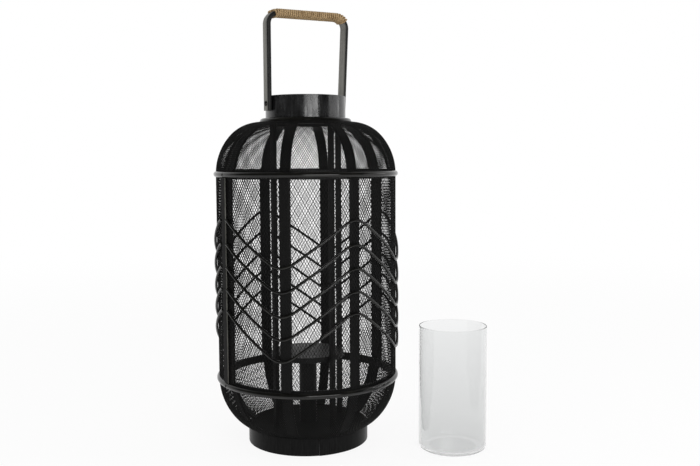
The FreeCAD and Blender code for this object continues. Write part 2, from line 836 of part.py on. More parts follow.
def handle_corners():
    """Middle line of the bent strip: the -X leg is upright and the +X leg leans out."""
    bend = size["handle_bend"]
    lean = size["handle_lean"]
    rise = worked("handle_rise", crossbar_height - leg_bottom)
    slant = worked("handle_slant", (rise * rise + lean * lean).root())
    reach = worked("handle_bend_reach", bend * ((slant + lean) / (slant - lean)).root())
    corner = worked("handle_corner", leg_middle + lean)
    points = [
        (-leg_middle, leg_bottom),
        (-leg_middle, crossbar_height - bend),
        (bend - leg_middle, crossbar_height),
        (corner - reach, crossbar_height),
        (corner - reach * lean / slant, crossbar_height - reach * rise / slant),
        (leg_middle, leg_bottom),
    ]
    left_arc = (bend - leg_middle, crossbar_height - bend, bend)
    right_arc = (corner - reach, crossbar_height - bend, bend)
    return points, [None, left_arc, None, right_arc, None]


def make_handle():
    body = new_body("handle_bail")
    points, bends = handle_corners()
    spine = sketch_on(body, "XZ_Plane", "handle_middle_line")
    draw_outline(spine, points, bends, closed=False)

    section = sketch_on(body, "XY_Plane", "handle_section", lift=leg_bottom)
    half = size["handle_width"] / 2
    edge = size["handle_edge"].at_most(size["handle_thickness"] * EDGE_SHARE)
    outline = []
    rounds = []
    corners = (
        (-leg_outside, -half, 1, 1), (-leg_inside, -half, -1, 1),
        (-leg_inside, half, -1, -1), (-leg_outside, half, 1, -1),
    )
    for x, y, x_in, y_in in corners:
        centre = (x + edge * x_in, y + edge * y_in, edge)
        on_x = (x, y + edge * y_in)
        on_y = (x + edge * x_in, y)
        outline += [on_x, on_y] if x_in == y_in else [on_y, on_x]
        rounds += [centre, None]
    draw_outline(section, outline, rounds)
    pipe = body.newObject("PartDesign::AdditivePipe", "handle_strip_sweep")
    pipe.Profile = section
    pipe.Spine = (spine, [f"Edge{number}" for number in range(1, len(points))])

    hole_sketch = sketch_on(body, "YZ_Plane", "handle_peg_hole")
    draw_circle(hole_sketch, size["peg_radius"] + size["peg_running_fit"], 0, pivot_height)
    hole = body.newObject("PartDesign::Pocket", "handle_drill")
    hole.Profile = hole_sketch
    hole.Type = "ThroughAll"
    hole.SideType = "Symmetric"
    body.Tip = hole
    node(body, "handle_strip")
    return points


def make_pegs():
    start = collar_bore + size["peg_inset"]
    length = leg_outside + size["peg_stand"] - start
    right = rod_along_x("peg_right", size["peg_radius"], start, length, pivot_height)
    left = rod_along_x("peg_left", size["peg_radius"], -(start + length), length, pivot_height)
    group("pivot_pegs", [left, right])


def least_gap(path, turns, diameter):
    """Least gap between neighbouring turns of a winding, measured on points."""
    points = path.discretize(Number=turns * POINTS_PER_TURN + 1)
    reach = 2 * POINTS_PER_TURN
    least = min(
        (point - other).Length
        for index, point in enumerate(points)
        for other in points[index + POINTS_PER_TURN // 2:index + reach]
    )
    return least - diameter


def make_twine(handle_points):
    """One unbroken length of twine wound on the crossbar, a quarter turn at a time."""
    diameter = size["twine_diameter"].value
    lift = size["handle_thickness"].value / 2 + size["twine_gap"].value + diameter / 2
    flat = size["handle_width"].value / 2 - size["handle_edge"].value
    reach = flat + lift
    first_x = handle_points[2][0].value + diameter / 2
    last_x = handle_points[3][0].value - diameter / 2
    fitting_turns = int((last_x - first_x) / (diameter + size["twine_spacing"].value))
    turns = min(MOST_TWINE_TURNS, fitting_turns)
    pitch = (last_x - first_x) / turns
    turn_length = 4 * flat + 2 * math.pi * lift
    slope = pitch / turn_length
    middle_z = crossbar_height.value
    quarters = ((0, -lift, 1, 0), (reach, 0, 0, 1), (0, lift, -1, 0), (-reach, 0, 0, -1))
    stations = []
    for quarter in range(4 * turns + 1):
        y, z, way_y, way_z = quarters[quarter % 4]
        x = first_x + pitch * quarter / 4
        tangent = FreeCAD.Vector(slope, way_y, way_z)
        tangent.normalize()
        stations.append((FreeCAD.Vector(x, y, middle_z + z), tangent))
    head, head_way = stations[0]
    tail, tail_way = stations[-1]
    curves = [Part.LineSegment(head - head_way * diameter, head)]
    for quarter, ((start, start_way), (end, end_way)) in enumerate(zip(stations, stations[1:])):
        on_flat = quarter % 2 == 0
        run = flat / 2 if on_flat else lift
        curves += biarc(start, start_way, end, end_way, run)
    curves.append(Part.LineSegment(tail, tail + tail_way * diameter))
    solid, path = tube_on(curves, head - head_way * diameter, head_way, diameter / 2)
    print(f"twine: {turns} turns, least gap to itself {least_gap(path, turns, diameter):.2f} mm")
    formed("handle_wrap", solid)


# Glass, standing beside the lantern

def make_glass():
    radius = size["glass_radius"]
    inner = radius - size["glass_wall"]
    edge = size["glass_edge"]
    inner_edge = edge - size["glass_wall"]
    floor = size["glass_floor"]
    top = size["glass_height"]
    points = [
        (0, 0), (radius - edge, 0), (radius, edge), (radius, top), (inner, top),
        (inner, floor + inner_edge), (inner - inner_edge, floor), (0, floor),
    ]
    outer_round = (radius - edge, edge, edge)
    inner_round = (inner - inner_edge, floor + inner_edge, inner_edge)
    body = new_body("glass_tumbler")
    revolve(body, points, [None, outer_round, None, None, None, inner_round, None, None])
    distance = hoop_outside + size["glass_gap"] + radius
    bearing = math.radians(GLASS_BEARING)
    bind(
        body,
        Placement__Base__x=distance * math.cos(bearing),
        Placement__Base__y=distance * math.sin(bearing),
    )
    node(body, "glass_cylinder")


def check_and_write():
    """Stop at any failed object, then write one file for each node."""
    doc.recompute()
    for thing in doc.Objects:
        if "Invalid" in thing.State or "Error" in thing.State:
            raise RuntimeError(f"{thing.Label} failed: {thing.State}")
    for thing in nodes:
        if thing.Shape.isNull() or not thing.Shape.isValid() or not thing.Shape.Solids:
            raise RuntimeError(f"{thing.Label} has no sound shape")
    os.makedirs("parts", exist_ok=True)
    for thing in nodes:
        thing.Shape.exportStep(f"parts/{thing.Label}.step")
        print(f"{thing.Label}: {len(thing.Shape.Solids)} solid, {thing.Shape.Volume:.1f} mm3")


make_foot()
make_candle_stand()
make_posts()
make_top_ring()
make_collar()
make_collar_hoop()
make_ribs()
make_bands()
make_nets()
make_hoops()
make_seam_slat()
make_wave_rods()
bail_points = make_handle()
make_pegs()
make_twine(bail_points)
make_glass()
check_and_write()
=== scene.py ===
import math

import bmesh
import bpy
from mathutils import Matrix, Vector


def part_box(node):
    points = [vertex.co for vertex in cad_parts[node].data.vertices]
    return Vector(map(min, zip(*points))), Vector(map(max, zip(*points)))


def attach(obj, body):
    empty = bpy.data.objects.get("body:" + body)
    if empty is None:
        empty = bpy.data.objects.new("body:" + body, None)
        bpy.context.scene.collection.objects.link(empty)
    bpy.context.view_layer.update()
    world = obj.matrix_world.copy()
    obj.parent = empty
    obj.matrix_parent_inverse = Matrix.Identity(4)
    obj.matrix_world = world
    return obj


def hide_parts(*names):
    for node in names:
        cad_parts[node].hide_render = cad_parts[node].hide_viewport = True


# A black candle lantern of bamboo slats under net, with its glass beside it.
# Metres, in the frame of the solids: +Z up, the handle's pegs along X.

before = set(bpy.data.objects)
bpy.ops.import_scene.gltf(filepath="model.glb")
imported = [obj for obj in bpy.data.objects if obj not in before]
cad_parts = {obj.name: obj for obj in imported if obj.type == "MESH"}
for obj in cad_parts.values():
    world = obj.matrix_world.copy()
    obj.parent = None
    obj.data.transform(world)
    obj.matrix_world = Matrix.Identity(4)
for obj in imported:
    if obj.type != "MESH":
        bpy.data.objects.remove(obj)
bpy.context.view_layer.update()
scene = bpy.context.scene
scene.view_settings.view_transform = "Standard"

MM = 0.001

# Places read from the solids
net_low, net_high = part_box("body_net")
NET_RADIUS = net_high.x
LOWER_LEVEL = net_low.z
UPPER_LEVEL = net_high.z
DOME_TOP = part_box("dome_net")[1].z
FOOT_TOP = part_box("foot_ring")[1].z
FOOT_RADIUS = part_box("foot_ring")[1].x
COLLAR_LOW, COLLAR_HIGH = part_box("collar")
COLLAR_RADIUS = COLLAR_HIGH.x
RING_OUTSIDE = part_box("top_ring")[1].x
GLASS_LOW, GLASS_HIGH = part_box("glass_cylinder")

# Sizes of the outline that the boxes don't tell
COLLAR_SHOULDER = 9.0 * MM
BELLY_FLAT = 68.0 * MM
BELLY_OVERRUN = 7.0 * MM
QUARTER = math.pi / 2

# Room left between pieces
NET_TO_COLLAR = 0.8 * MM
RIB_TO_RING = 0.4 * MM
HOOP_TO_NET = 0.1 * MM
HOOP_TO_COLLAR = 0.3 * MM
ROD_TO_NET = 0.3 * MM
TWINE_TO_EDGE = 0.1 * MM
TWINE_TO_FLAT = 0.05 * MM

# Net: each of its two layers lies off the middle by this share of a strand's depth
NET_THICKNESS = 1.0 * MM
LAYER_SHARE = 0.4

# Ribs: they sink behind the hoops within one angle and come back within another, in radians
RIB_BEARINGS = (2.0, 47.0, 91.5, 137.0, 183.5, 227.0, 270.5, 317.0)
RIB_WIDTH = 16.0 * MM
WIDE_RIBS = {1: 26.0 * MM, 3: 18.5 * MM}
RIB_THICKNESS = 4.0 * MM
RIB_DEPTH = 3.8 * MM
RIB_SINK = 6.5 * MM
SINK_ANGLE = 0.14
RETURN_ANGLE = 0.7
RIB_SEED_STEP = 3.7

# A slat has its full width between these shares of its length
FULL_FROM = 0.22
FULL_TO = 0.84

# Hoops and bands: their open joints, in radians, and how finely they are divided
HOOP_GAP = 0.0015
HOOP_STEPS = 161
BAND_GAP = 0.004
BAND_STEPS = 180
COLLAR_SEAM = math.radians(-102.0)
FOOT_SEAM = math.radians(-110.0)

# Wave rods: how many waves go round, and how much of half a wave each bend takes
ROD_DIAMETER = 4.3 * MM
ROD_COUNT = 5
ROD_WAVES = 4
ROD_BEND = 0.16

# Handle: the -X leg is upright and its corner a little low, the +X leg leans out
HANDLE_WIDTH = 17.0 * MM
HANDLE_THICKNESS = 6.5 * MM
HANDLE_BEND = 18.0 * MM
HANDLE_LEAN = 7.5 * MM
CORNER_DROP = 2.5 * MM
LEG_STEPS = 20
BEND_STEPS = 12

# Twine: the wrap starts in one bend and ends in the other, this many points short of the bend's end
WRAP_INSET = 4
WRAP_TURNS = 35.0
STEPS_PER_TURN = 64

# Faces that meet at more than this look creased
CREASE = math.radians(38)


# Node trees

class Nodes:
    """Adds nodes to the tree of a shape, a material or the world."""

    def __init__(self, tree):
        self.tree = tree

    def plug(self, socket, value):
        """Link a socket to another, or set its value."""
        if isinstance(value, bpy.types.NodeSocket):
            self.tree.links.new(value, socket)
        else:
            socket.default_value = value

    def add(self, kind, inputs=None, **settings):
        """A new node, its inputs given by name or number."""
        node = self.tree.nodes.new(kind)
        for name, value in settings.items():
            setattr(node, name, value)
        for name, value in (inputs or {}).items():
            self.plug(node.inputs[name], value)
        return node

    def result(self, kind, inputs=None, **settings):
        """The first output of a new node."""
        return self.add(kind, inputs, **settings).outputs[0]

    def calc(self, operation, *values):
        """One step of arithmetic."""
        return self.result("ShaderNodeMath", dict(enumerate(values)), operation=operation)

    def vector(self, operation, *values):
        """One step of arithmetic with vectors."""
        return self.result("ShaderNodeVectorMath", dict(enumerate(values)), operation=operation)

    def scaled(self, vector, factor):
        return self.result("ShaderNodeVectorMath", {0: vector, "Scale": factor}, operation="SCALE")

    def xyz(self, x, y, z):
        return self.result("ShaderNodeCombineXYZ", {"X": x, "Y": y, "Z": z})

    def parts(self, vector):
        """The X, Y and Z of a vector."""
        return self.add("ShaderNodeSeparateXYZ", {"Vector": vector}).outputs

    def graded(self, value, start, end, low=0.0, high=1.0, shape="LINEAR"):
        """Go from low to high while a value goes from start to end."""
        return self.result("ShaderNodeMapRange", {
            "Value": value, "From Min": start, "From Max": end, "To Min": low, "To Max": high,
        }, interpolation_type=shape)

    def eased(self, value, start, end, low=0.0, high=1.0):
        """As graded, with a soft start and end."""
        return self.graded(value, start, end, low, high, "SMOOTHSTEP")


class Tree(Nodes):
    """A geometry-node tree, built from the first node to the last."""

    def __init__(self, name):
        super().__init__(bpy.data.node_groups.new(name, "GeometryNodeTree"))
        for side in ("INPUT", "OUTPUT"):
            self.tree.interface.new_socket("Geometry", in_out=side, socket_type="NodeSocketGeometry")
        self.entry = self.add("NodeGroupInput")
        self.exit = self.add("NodeGroupOutput")

    def size(self, name, kind="NodeSocketFloat"):
        """A named input of the tree."""
        self.tree.interface.new_socket(name, in_out="INPUT", socket_type=kind)
        return self.entry.outputs[name]

    def count(self, name):
        """A named input that is a whole number."""
        return self.size(name, "NodeSocketInt")

    def path(self):
        """The line that the tree runs on, as a curve."""
        return self.result("GeometryNodeMeshToCurve", {"Mesh": self.entry.outputs["Geometry"]})

    def place(self):
        """Where each point is."""
        return self.result("GeometryNodeInputPosition")

    def along(self, measure):
        """How far along its curve a point is: a Factor from 0 to 1, or a Length."""
        return self.add("GeometryNodeSplineParameter").outputs[measure]

    def resampled(self, curve, count):
        """A curve with its points spread evenly."""
        return self.result("GeometryNodeResampleCurve", {"Curve": curve, "Count": count})

    def moved(self, geometry, **where):
        """Points taken to a Position, or shifted by an Offset."""
        return self.result("GeometryNodeSetPosition", {"Geometry": geometry, **where})

    def facing(self, curve, normal):
        """A curve whose section keeps to a normal."""
        return self.result("GeometryNodeSetCurveNormal", {"Curve": curve, "Normal": normal}, mode="FREE")

    def swelling(self, curve, factor):
        """A curve whose section grows and shrinks by a factor."""
        return self.result("GeometryNodeSetCurveRadius", {"Curve": curve, "Radius": factor})

    def stored(self, geometry, name, value):
        """Keep a number on each point, for the materials."""
        return self.result("GeometryNodeStoreNamedAttribute", {
            "Geometry": geometry, "Name": name, "Value": value,
        }, data_type="FLOAT", domain="POINT")

    def measured(self, curve):
        """Keep the length along a curve on its points, for grain that follows it."""
        return self.stored(curve, "along", self.along("Length"))

    def swept(self, curve, section):
        """A section carried along a curve, its ends closed."""
        return self.result("GeometryNodeCurveToMesh", {
            "Curve": curve, "Profile Curve": section, "Fill Caps": True,
        })

    def both_ways(self, noise, reach):
        """Noise from 0 to 1, spread to both sides of zero."""
        return self.calc("MULTIPLY", self.calc("SUBTRACT", noise, 0.5), reach)

    def around_axis(self, geometry, copies, first=0.0):
        """Copies of a shape, turned evenly round the Z axis from a first bearing."""
        points = self.result("GeometryNodePoints", {"Count": copies})
        number = self.result("GeometryNodeInputIndex")
        turn = self.calc("DIVIDE", self.calc("MULTIPLY", number, math.tau), copies)
        return self.result("GeometryNodeInstanceOnPoints", {
            "Points": points,
            "Instance": geometry,
            "Rotation": self.xyz(0.0, 0.0, self.calc("ADD", first, turn)),
        })

    def finish(self, geometry):
        """Realize what was instanced, set the material and end the tree."""
        material = self.size("Material", "NodeSocketMaterial")
        real = self.result("GeometryNodeRealizeInstances", {"Geometry": geometry})
        painted = self.result("GeometryNodeSetMaterial", {"Geometry": real, "Material": material})
        self.plug(self.exit.inputs[0], painted)
        return self.tree


def net_tree():
    """Diamond net: a strand on the outline, twisted both ways and copied round the axis."""
    tree = Tree("Diamond net")
    strands = tree.count("Strands")
    rings = tree.count("Rings")
    rows = tree.size("Rows")
    width = tree.size("Strand width")
    depth = tree.size("Strand depth")
    gather = tree.size("Gather")
    path = tree.resampled(tree.path(), rings)
    kept = tree.add("GeometryNodeCaptureAttribute", {"Geometry": path})
    kept.capture_items.new("VECTOR", "Tangent")
    tree.plug(kept.inputs["Tangent"], tree.result("GeometryNodeInputTangent"))
    path = kept.outputs["Geometry"]
    slope_x, _, slope_z = tree.parts(kept.outputs["Tangent"])
    whole_twist = tree.calc("DIVIDE", tree.calc("MULTIPLY", rows, math.tau), strands)
    twist = tree.calc("MULTIPLY", tree.along("Factor"), whole_twist)
    reach, _, height = tree.parts(tree.place())
    section = tree.result("GeometryNodeCurvePrimitiveQuadrilateral", {"Width": depth, "Height": width})
    narrowing = tree.calc("SUBTRACT", tree.calc("DIVIDE", reach, NET_RADIUS), 1.0)
    scale = tree.calc("ADD", 1.0, tree.calc("MULTIPLY", gather, narrowing))
    joined = tree.add("GeometryNodeJoinGeometry")
    for way in (1.0, -1.0):
        angle = tree.calc("MULTIPLY", twist, way)
        cosine = tree.calc("COSINE", angle)
        sine = tree.calc("SINE", angle)
        radius = tree.calc("ADD", reach, tree.calc("MULTIPLY", depth, LAYER_SHARE * way))
        x = tree.calc("MULTIPLY", radius, cosine)
        y = tree.calc("MULTIPLY", radius, sine)
        bent = tree.moved(path, Position=tree.xyz(x, y, height))
        outwards = tree.xyz(
            tree.calc("MULTIPLY", slope_z, cosine),
            tree.calc("MULTIPLY", slope_z, sine),
            tree.calc("MULTIPLY", slope_x, -1.0),
        )
        laid = tree.swelling(tree.facing(bent, outwards), scale)
        tree.plug(joined.inputs[0], tree.swept(laid, section))
    return tree.finish(tree.around_axis(joined.outputs[0], strands))


def slat_tree():
    """Flat strip with rounded edges, bent along a path and copied round the axis."""
    tree = Tree("Bent slat")
    width = tree.size("Width")
    thickness = tree.size("Thickness")
    edge = tree.size("Edge radius")
    copies = tree.count("Copies")
    first = tree.size("First bearing")
    across = tree.size("Across", "NodeSocketVector")
    waver = tree.size("Waver")
    seed = tree.size("Seed")
    foot_share = tree.size("Foot share")
    top_share = tree.size("Top share")
    path = tree.facing(tree.measured(tree.path()), across)
    noise = tree.result("ShaderNodeTexNoise", {
        "Vector": tree.place(), "W": seed, "Scale": 9.0, "Detail": 1.0,
    }, noise_dimensions="4D")
    swell = tree.calc("ADD", 1.0, tree.both_ways(noise, waver))
    share = tree.along("Factor")
    from_foot = tree.eased(share, 0.0, FULL_FROM, foot_share, 1.0)
    to_top = tree.eased(share, FULL_TO, 1.0, 1.0, top_share)
    swell = tree.calc("MULTIPLY", swell, tree.calc("MULTIPLY", from_foot, to_top))
    section = tree.result("GeometryNodeCurvePrimitiveQuadrilateral", {"Width": width, "Height": thickness})
    section = tree.result("GeometryNodeFilletCurve", {
        "Curve": section, "Radius": edge, "Limit Radius": True, "Count": 3,
    }, mode="POLY")
    _, off_middle, _ = tree.parts(tree.place())
    height = tree.calc("DIVIDE", tree.calc("ABSOLUTE", off_middle), thickness)
    halfway = 0.25
    face = 0.5
    section = tree.stored(section, "flat", tree.graded(height, halfway, face))
    strip = tree.swept(tree.swelling(path, swell), section)
    return tree.finish(tree.around_axis(strip, copies, first))


def hoop_tree():
    """Half-round strip bent into a hoop, its flat against what it lies on."""
    tree = Tree("Half-round hoop")
    height = tree.size("Height")
    depth = tree.size("Depth")
    across = tree.size("Across", "NodeSocketVector")
    path = tree.facing(tree.measured(tree.path()), across)
    half = tree.calc("MULTIPLY", height, 0.5)
    section = tree.result("GeometryNodeCurveArc", {
        "Resolution": 12,
        "Start": tree.xyz(tree.calc("MULTIPLY", half, -1.0), 0.0, 0.0),
        "Middle": tree.xyz(0.0, depth, 0.0),
        "End": tree.xyz(half, 0.0, 0.0),
    }, mode="POINTS")
    section = tree.result("GeometryNodeSetSplineCyclic", {"Geometry": section, "Cyclic": True})
    return tree.finish(tree.swept(path, section))


def rod_tree():
    """Round rod along a path, repeated downwards, each a little uneven."""
    tree = Tree("Wave rods")
    diameter = tree.size("Diameter")
    copies = tree.count("Copies")
    drop = tree.size("Drop")
    bow = tree.size("Bow")
    waver = tree.size("Waver")
    rods = tree.add("GeometryNodeDuplicateElements", {
        "Geometry": tree.path(), "Amount": copies,
    }, domain="SPLINE")
    number = rods.outputs["Duplicate Index"]
    below = tree.calc("SUBTRACT", copies, number)
    extra = tree.calc("MULTIPLY", tree.calc("MULTIPLY", number, below), bow)
    fall = tree.calc("ADD", tree.calc("MULTIPLY", number, drop), extra)
    rise = tree.calc("MULTIPLY", fall, -1.0)
    lowered = tree.moved(rods.outputs[0], Offset=tree.xyz(0.0, 0.0, rise))
    noise = tree.result("ShaderNodeTexNoise", {"Vector": tree.place(), "Scale": 14.0, "Detail": 2.0})
    uneven = tree.moved(lowered, Offset=tree.xyz(0.0, 0.0, tree.both_ways(noise, waver)))
    radius = tree.calc("MULTIPLY", diameter, 0.5)
    section = tree.result("GeometryNodeCurvePrimitiveCircle", {"Resolution": 10, "Radius": radius})
    return tree.finish(tree.swept(tree.measured(uneven), section))


def squared_off(tree, wave, reach):
    """Push a sine towards a square wave, so that a loop hugs a flat bar."""
    squareness = 0.62
    power = tree.calc("POWER", tree.calc("ABSOLUTE", wave), squareness)
    return tree.calc("MULTIPLY", tree.calc("MULTIPLY", tree.calc("SIGN", wave), power), reach)


def ply_section(tree, radius):
    """Section of a twine twisted from three plies."""
    plies = 3.0
    middle = 0.9
    bulge = 0.13
    circle = tree.result("GeometryNodeCurvePrimitiveCircle", {"Resolution": 9, "Radius": radius})
    place = tree.place()
    x, y, _ = tree.parts(place)
    bearing = tree.calc("ARCTAN2", y, x)
    wave = tree.calc("COSINE", tree.calc("MULTIPLY", bearing, plies))
    lobes = tree.calc("ADD", middle, tree.calc("MULTIPLY", wave, bulge))
    return tree.moved(circle, Position=tree.scaled(place, lobes))


def twine_tree():
    """Twisted twine wound in one unbroken length round a flat bar that follows a path."""
    tree = Tree("Twine wrap")
    turns = tree.size("Turns")
    steps = tree.count("Steps")
    diameter = tree.size("Twine diameter")
    half_width = tree.size("Half width")
    half_thickness = tree.size("Half thickness")
    lay = tree.size("Lay length")
    waver = tree.size("Waver")
    wander_rate = 0.35
    thinnest = 0.84
    thickening = 0.32
    side = (0.0, 1.0, 0.0)
    line = tree.resampled(tree.result("GeometryNodeCurvePrimitiveLine"), steps)
    share = tree.along("Factor")
    angle = tree.calc("MULTIPLY", share, tree.calc("MULTIPLY", turns, math.tau))
    noise = tree.result("ShaderNodeTexNoise", {
        "W": tree.calc("MULTIPLY", angle, wander_rate), "Scale": 1.0,
    }, noise_dimensions="1D")
    wander = tree.both_ways(noise, waver)
    on_bar = tree.add("GeometryNodeSampleCurve", {
        "Curves": tree.path(), "Factor": share,
    }, mode="FACTOR", use_all_curves=True).outputs
    up = tree.vector("CROSS_PRODUCT", on_bar["Tangent"], side)
    radius = tree.calc("MULTIPLY", diameter, 0.5)
    rise = squared_off(tree, tree.calc("COSINE", angle), tree.calc("ADD", half_thickness, radius))
    spread = squared_off(tree, tree.calc("SINE", angle), tree.calc("ADD", half_width, radius))
    loop = tree.vector("ADD", tree.scaled(up, rise), tree.xyz(0.0, spread, 0.0))
    loop = tree.vector("ADD", loop, tree.scaled(on_bar["Tangent"], wander))
    wound = tree.moved(line, Position=tree.vector("ADD", on_bar["Position"], loop))
    wound = tree.measured(tree.resampled(wound, steps))
    twist = tree.calc("MULTIPLY", tree.calc("DIVIDE", tree.along("Length"), lay), math.tau)
    wound = tree.result("GeometryNodeSetCurveTilt", {"Curve": wound, "Tilt": twist})
    noise = tree.result("ShaderNodeTexNoise", {
        "W": angle, "Scale": 0.9, "Detail": 2.0,
    }, noise_dimensions="1D")
    swell = tree.calc("ADD", thinnest, tree.calc("MULTIPLY", noise, thickening))
    return tree.finish(tree.swept(tree.swelling(wound, swell), ply_section(tree, radius)))


# Making pieces

def polar(radius, angle, height):
    """A point at a bearing round the Z axis."""
    return (radius * math.cos(angle), radius * math.sin(angle), height)


def polyline(name, points):
    """A bare line for a tree to run on."""
    mesh = bpy.data.meshes.new(name)
    edges = [(index, index + 1) for index in range(len(points) - 1)]
    mesh.from_pydata([tuple(point) for point in points], edges, [])
    host = bpy.data.objects.new(name, mesh)
    scene.collection.objects.link(host)
    return host


def mesh_of(work, name):
    """Turn a bmesh into a mesh."""
    mesh = bpy.data.meshes.new(name)
    work.to_mesh(mesh)
    work.free()
    return mesh


def settle(mesh):
    """Point faces outwards and shade the mesh smooth by angle."""
    work = bmesh.new()
    work.from_mesh(mesh)
    bmesh.ops.recalc_face_normals(work, faces=work.faces)
    work.to_mesh(mesh)
    work.free()
    mesh.shade_smooth()
    mesh.set_sharp_from_angle(angle=CREASE)


def plain_mesh(host, modifier):
    """The mesh that a modifier gives its host, with the modifier taken off again."""
    graph = bpy.context.evaluated_depsgraph_get()
    mesh = bpy.data.meshes.new_from_object(
        host.evaluated_get(graph), preserve_all_data_layers=True, depsgraph=graph,
    )
    host.modifiers.remove(modifier)
    return mesh


def flatten_normals(made):
    """Let broad flats keep their own normals, so that only the rounded edges look round."""
    modifier = made.modifiers.new("flats", "WEIGHTED_NORMAL")
    modifier.keep_sharp = True
    bent = made.data
    made.data = plain_mesh(made, modifier)
    bpy.data.meshes.remove(bent)
    made.data.name = made.name


def piece(name, mesh, body, nodes, material=None):
    """Add a finished mesh that rides on a body and stands for its solids."""
    mesh.name = name
    made = bpy.data.objects.new(name, mesh)
    scene.collection.objects.link(made)
    if material is not None:
        mesh.materials.clear()
        mesh.materials.append(material)
    settle(mesh)
    flatten_normals(made)
    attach(made, body)
    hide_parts(*nodes)


def grown(name, points, tree, sizes, body, nodes):
    """Run a tree on a line through points and keep the result as a plain mesh."""
    host = polyline(f"{name}_line", points)
    modifier = host.modifiers.new("shape", "NODES")
    modifier.node_group = tree
    for item in tree.interface.items_tree:
        if item.item_type == "SOCKET" and item.in_out == "INPUT" and item.name in sizes:
            modifier[item.identifier] = sizes[item.name]
    mesh = plain_mesh(host, modifier)
    bpy.data.objects.remove(host)
    piece(name, mesh, body, nodes)


def turned(outline, segments, place, ring_shaped=False):
    """Spin an outline of (radius, height) points round Z into a closed mesh, then place it."""
    work = bmesh.new()
    rings = []
    for radius, height in outline:
        count = segments if radius else 1
        rings.append([work.verts.new(polar(radius, math.tau * step / segments, height))
                      for step in range(count)])
    pairs = list(zip(rings, rings[1:]))
    if ring_shaped:
        pairs.append((rings[-1], rings[0]))
    for lower, upper in pairs:
        for step in range(segments):
            after = (step + 1) % segments
            corners = [lower[step % len(lower)], lower[after % len(lower)],
                       upper[after % len(upper)], upper[step % len(upper)]]
            work.faces.new(list(dict.fromkeys(corners)))
    work.transform(place)
    return mesh_of(work, "turned")


def rounding(centre, radius, first, last, steps):
    """Points on an arc between two bearings in degrees."""
    points = []
    for step in range(steps + 1):
        angle = math.radians(first + (last - first) * step / steps)
        points.append((centre[0] + radius * math.cos(angle), centre[1] + radius * math.sin(angle)))
    return points


# The outline: a straight wall between two quarter ovals of two arcs each

class Oval:
    """A quarter oval from the wall to its flat, upwards or downwards."""

    def __init__(self, flat, rise, level, sign):
        span = NET_RADIUS - flat
        slant = math.hypot(span, rise)
        near = (slant - rise + span) / 2
        self.flat = flat
        self.level = level
        self.sign = sign
        # Radii of two arcs that meet smoothly, as in a three-centred arch
        self.crown = near * slant / rise
        self.side = (slant - near) * slant / span
        self.side_x = NET_RADIUS - self.side
        self.crown_z = level + sign * (rise - self.crown)
        self.joint = math.atan2(span, rise)

    def point(self, angle, depth):
        """Point at an angle from the wall's normal, sunk by depth."""
        cosine = math.cos(angle)
        sine = self.sign * math.sin(angle)
        if angle < self.joint:
            reach = self.side - depth
            return Vector((self.side_x + reach * cosine, 0, self.level + reach * sine))
        reach = self.crown - depth
        return Vector((self.flat + reach * cosine, 0, self.crown_z + reach * sine))

    def angle_at(self, height, depth):
        """Angle where the crown arc crosses a height."""
        return math.asin(self.sign * (height - self.crown_z) / (self.crown - depth))

    def points(self, last, depth, steps):
        """Points from the wall to a last angle, all at one depth."""
        return [self.point(last * step / steps, depth) for step in range(steps + 1)]


dome = Oval(COLLAR_RADIUS + COLLAR_SHOULDER, DOME_TOP - UPPER_LEVEL, UPPER_LEVEL, 1)
belly = Oval(BELLY_FLAT, LOWER_LEVEL - FOOT_TOP + BELLY_OVERRUN, LOWER_LEVEL, -1)


# Materials

def grey(level):
    return (level, level, level)


class Finish(Nodes):
    """A material's node tree, built round one Principled shader."""

    def __init__(self, name, **sockets):
        self.material = bpy.data.materials.new(name)
        self.material.use_nodes = True
        super().__init__(self.material.node_tree)
        self.shader = self.tree.nodes["Principled BSDF"]
        for socket, value in sockets.items():
            self.set(socket.replace("_", " "), value)

    def set(self, socket, value):
        """Set or link an input of the shader."""
        self.plug(self.shader.inputs[socket], value)

    def place(self, stretch=(1.0, 1.0, 1.0)):
        """Object coordinates, stretched."""
        coordinates = self.add("ShaderNodeTexCoord").outputs["Object"]
        return self.result("ShaderNodeMapping", {"Vector": coordinates, "Scale": stretch})

    def noise(self, vector, scale, detail, roughness=0.55):
        return self.result("ShaderNodeTexNoise", {
            "Vector": vector, "Scale": scale, "Detail": detail, "Roughness": roughness,
        })

    def ramp(self, value, *stops):
        """Colours along a value from 0 to 1."""
        node = self.add("ShaderNodeValToRGB", {"Fac": value})
        elements = node.color_ramp.elements
        while len(elements) < len(stops):
            elements.new(1.0)
        for element, (position, colour) in zip(elements, stops):
            element.position = position
            element.color = (*colour, 1.0)
        return node.outputs[0]

    def between(self, value, low, high):
        """Stretch a 0 to 1 value between two numbers."""
        return self.graded(value, 0.0, 1.0, low, high)

    def bump(self, height, distance, strength, normal=None):
        """Raise the surface a little, on top of a normal if one is given."""
        inputs = {"Height": height, "Distance": distance, "Strength": strength}
        if normal is not None:
            inputs["Normal"] = normal
        self.set("Normal", self.result("ShaderNodeBump", inputs))

    def attribute(self, name):
        """A number kept on the mesh."""
        return self.add("ShaderNodeAttribute", attribute_name=name).outputs["Fac"]

    def mix(self, share, first, second):
        """One colour turning into another as the share goes from 0 to 1."""
        # A mix node has sockets for each kind of value; 6, 7 and output 2 are those for colour
        return self.add("ShaderNodeMix", {0: share, 6: first, 7: second}, data_type="RGBA").outputs[2]

    def softened_edges(self, radius):
        return self.result("ShaderNodeBevel", {"Radius": radius}, samples=4)


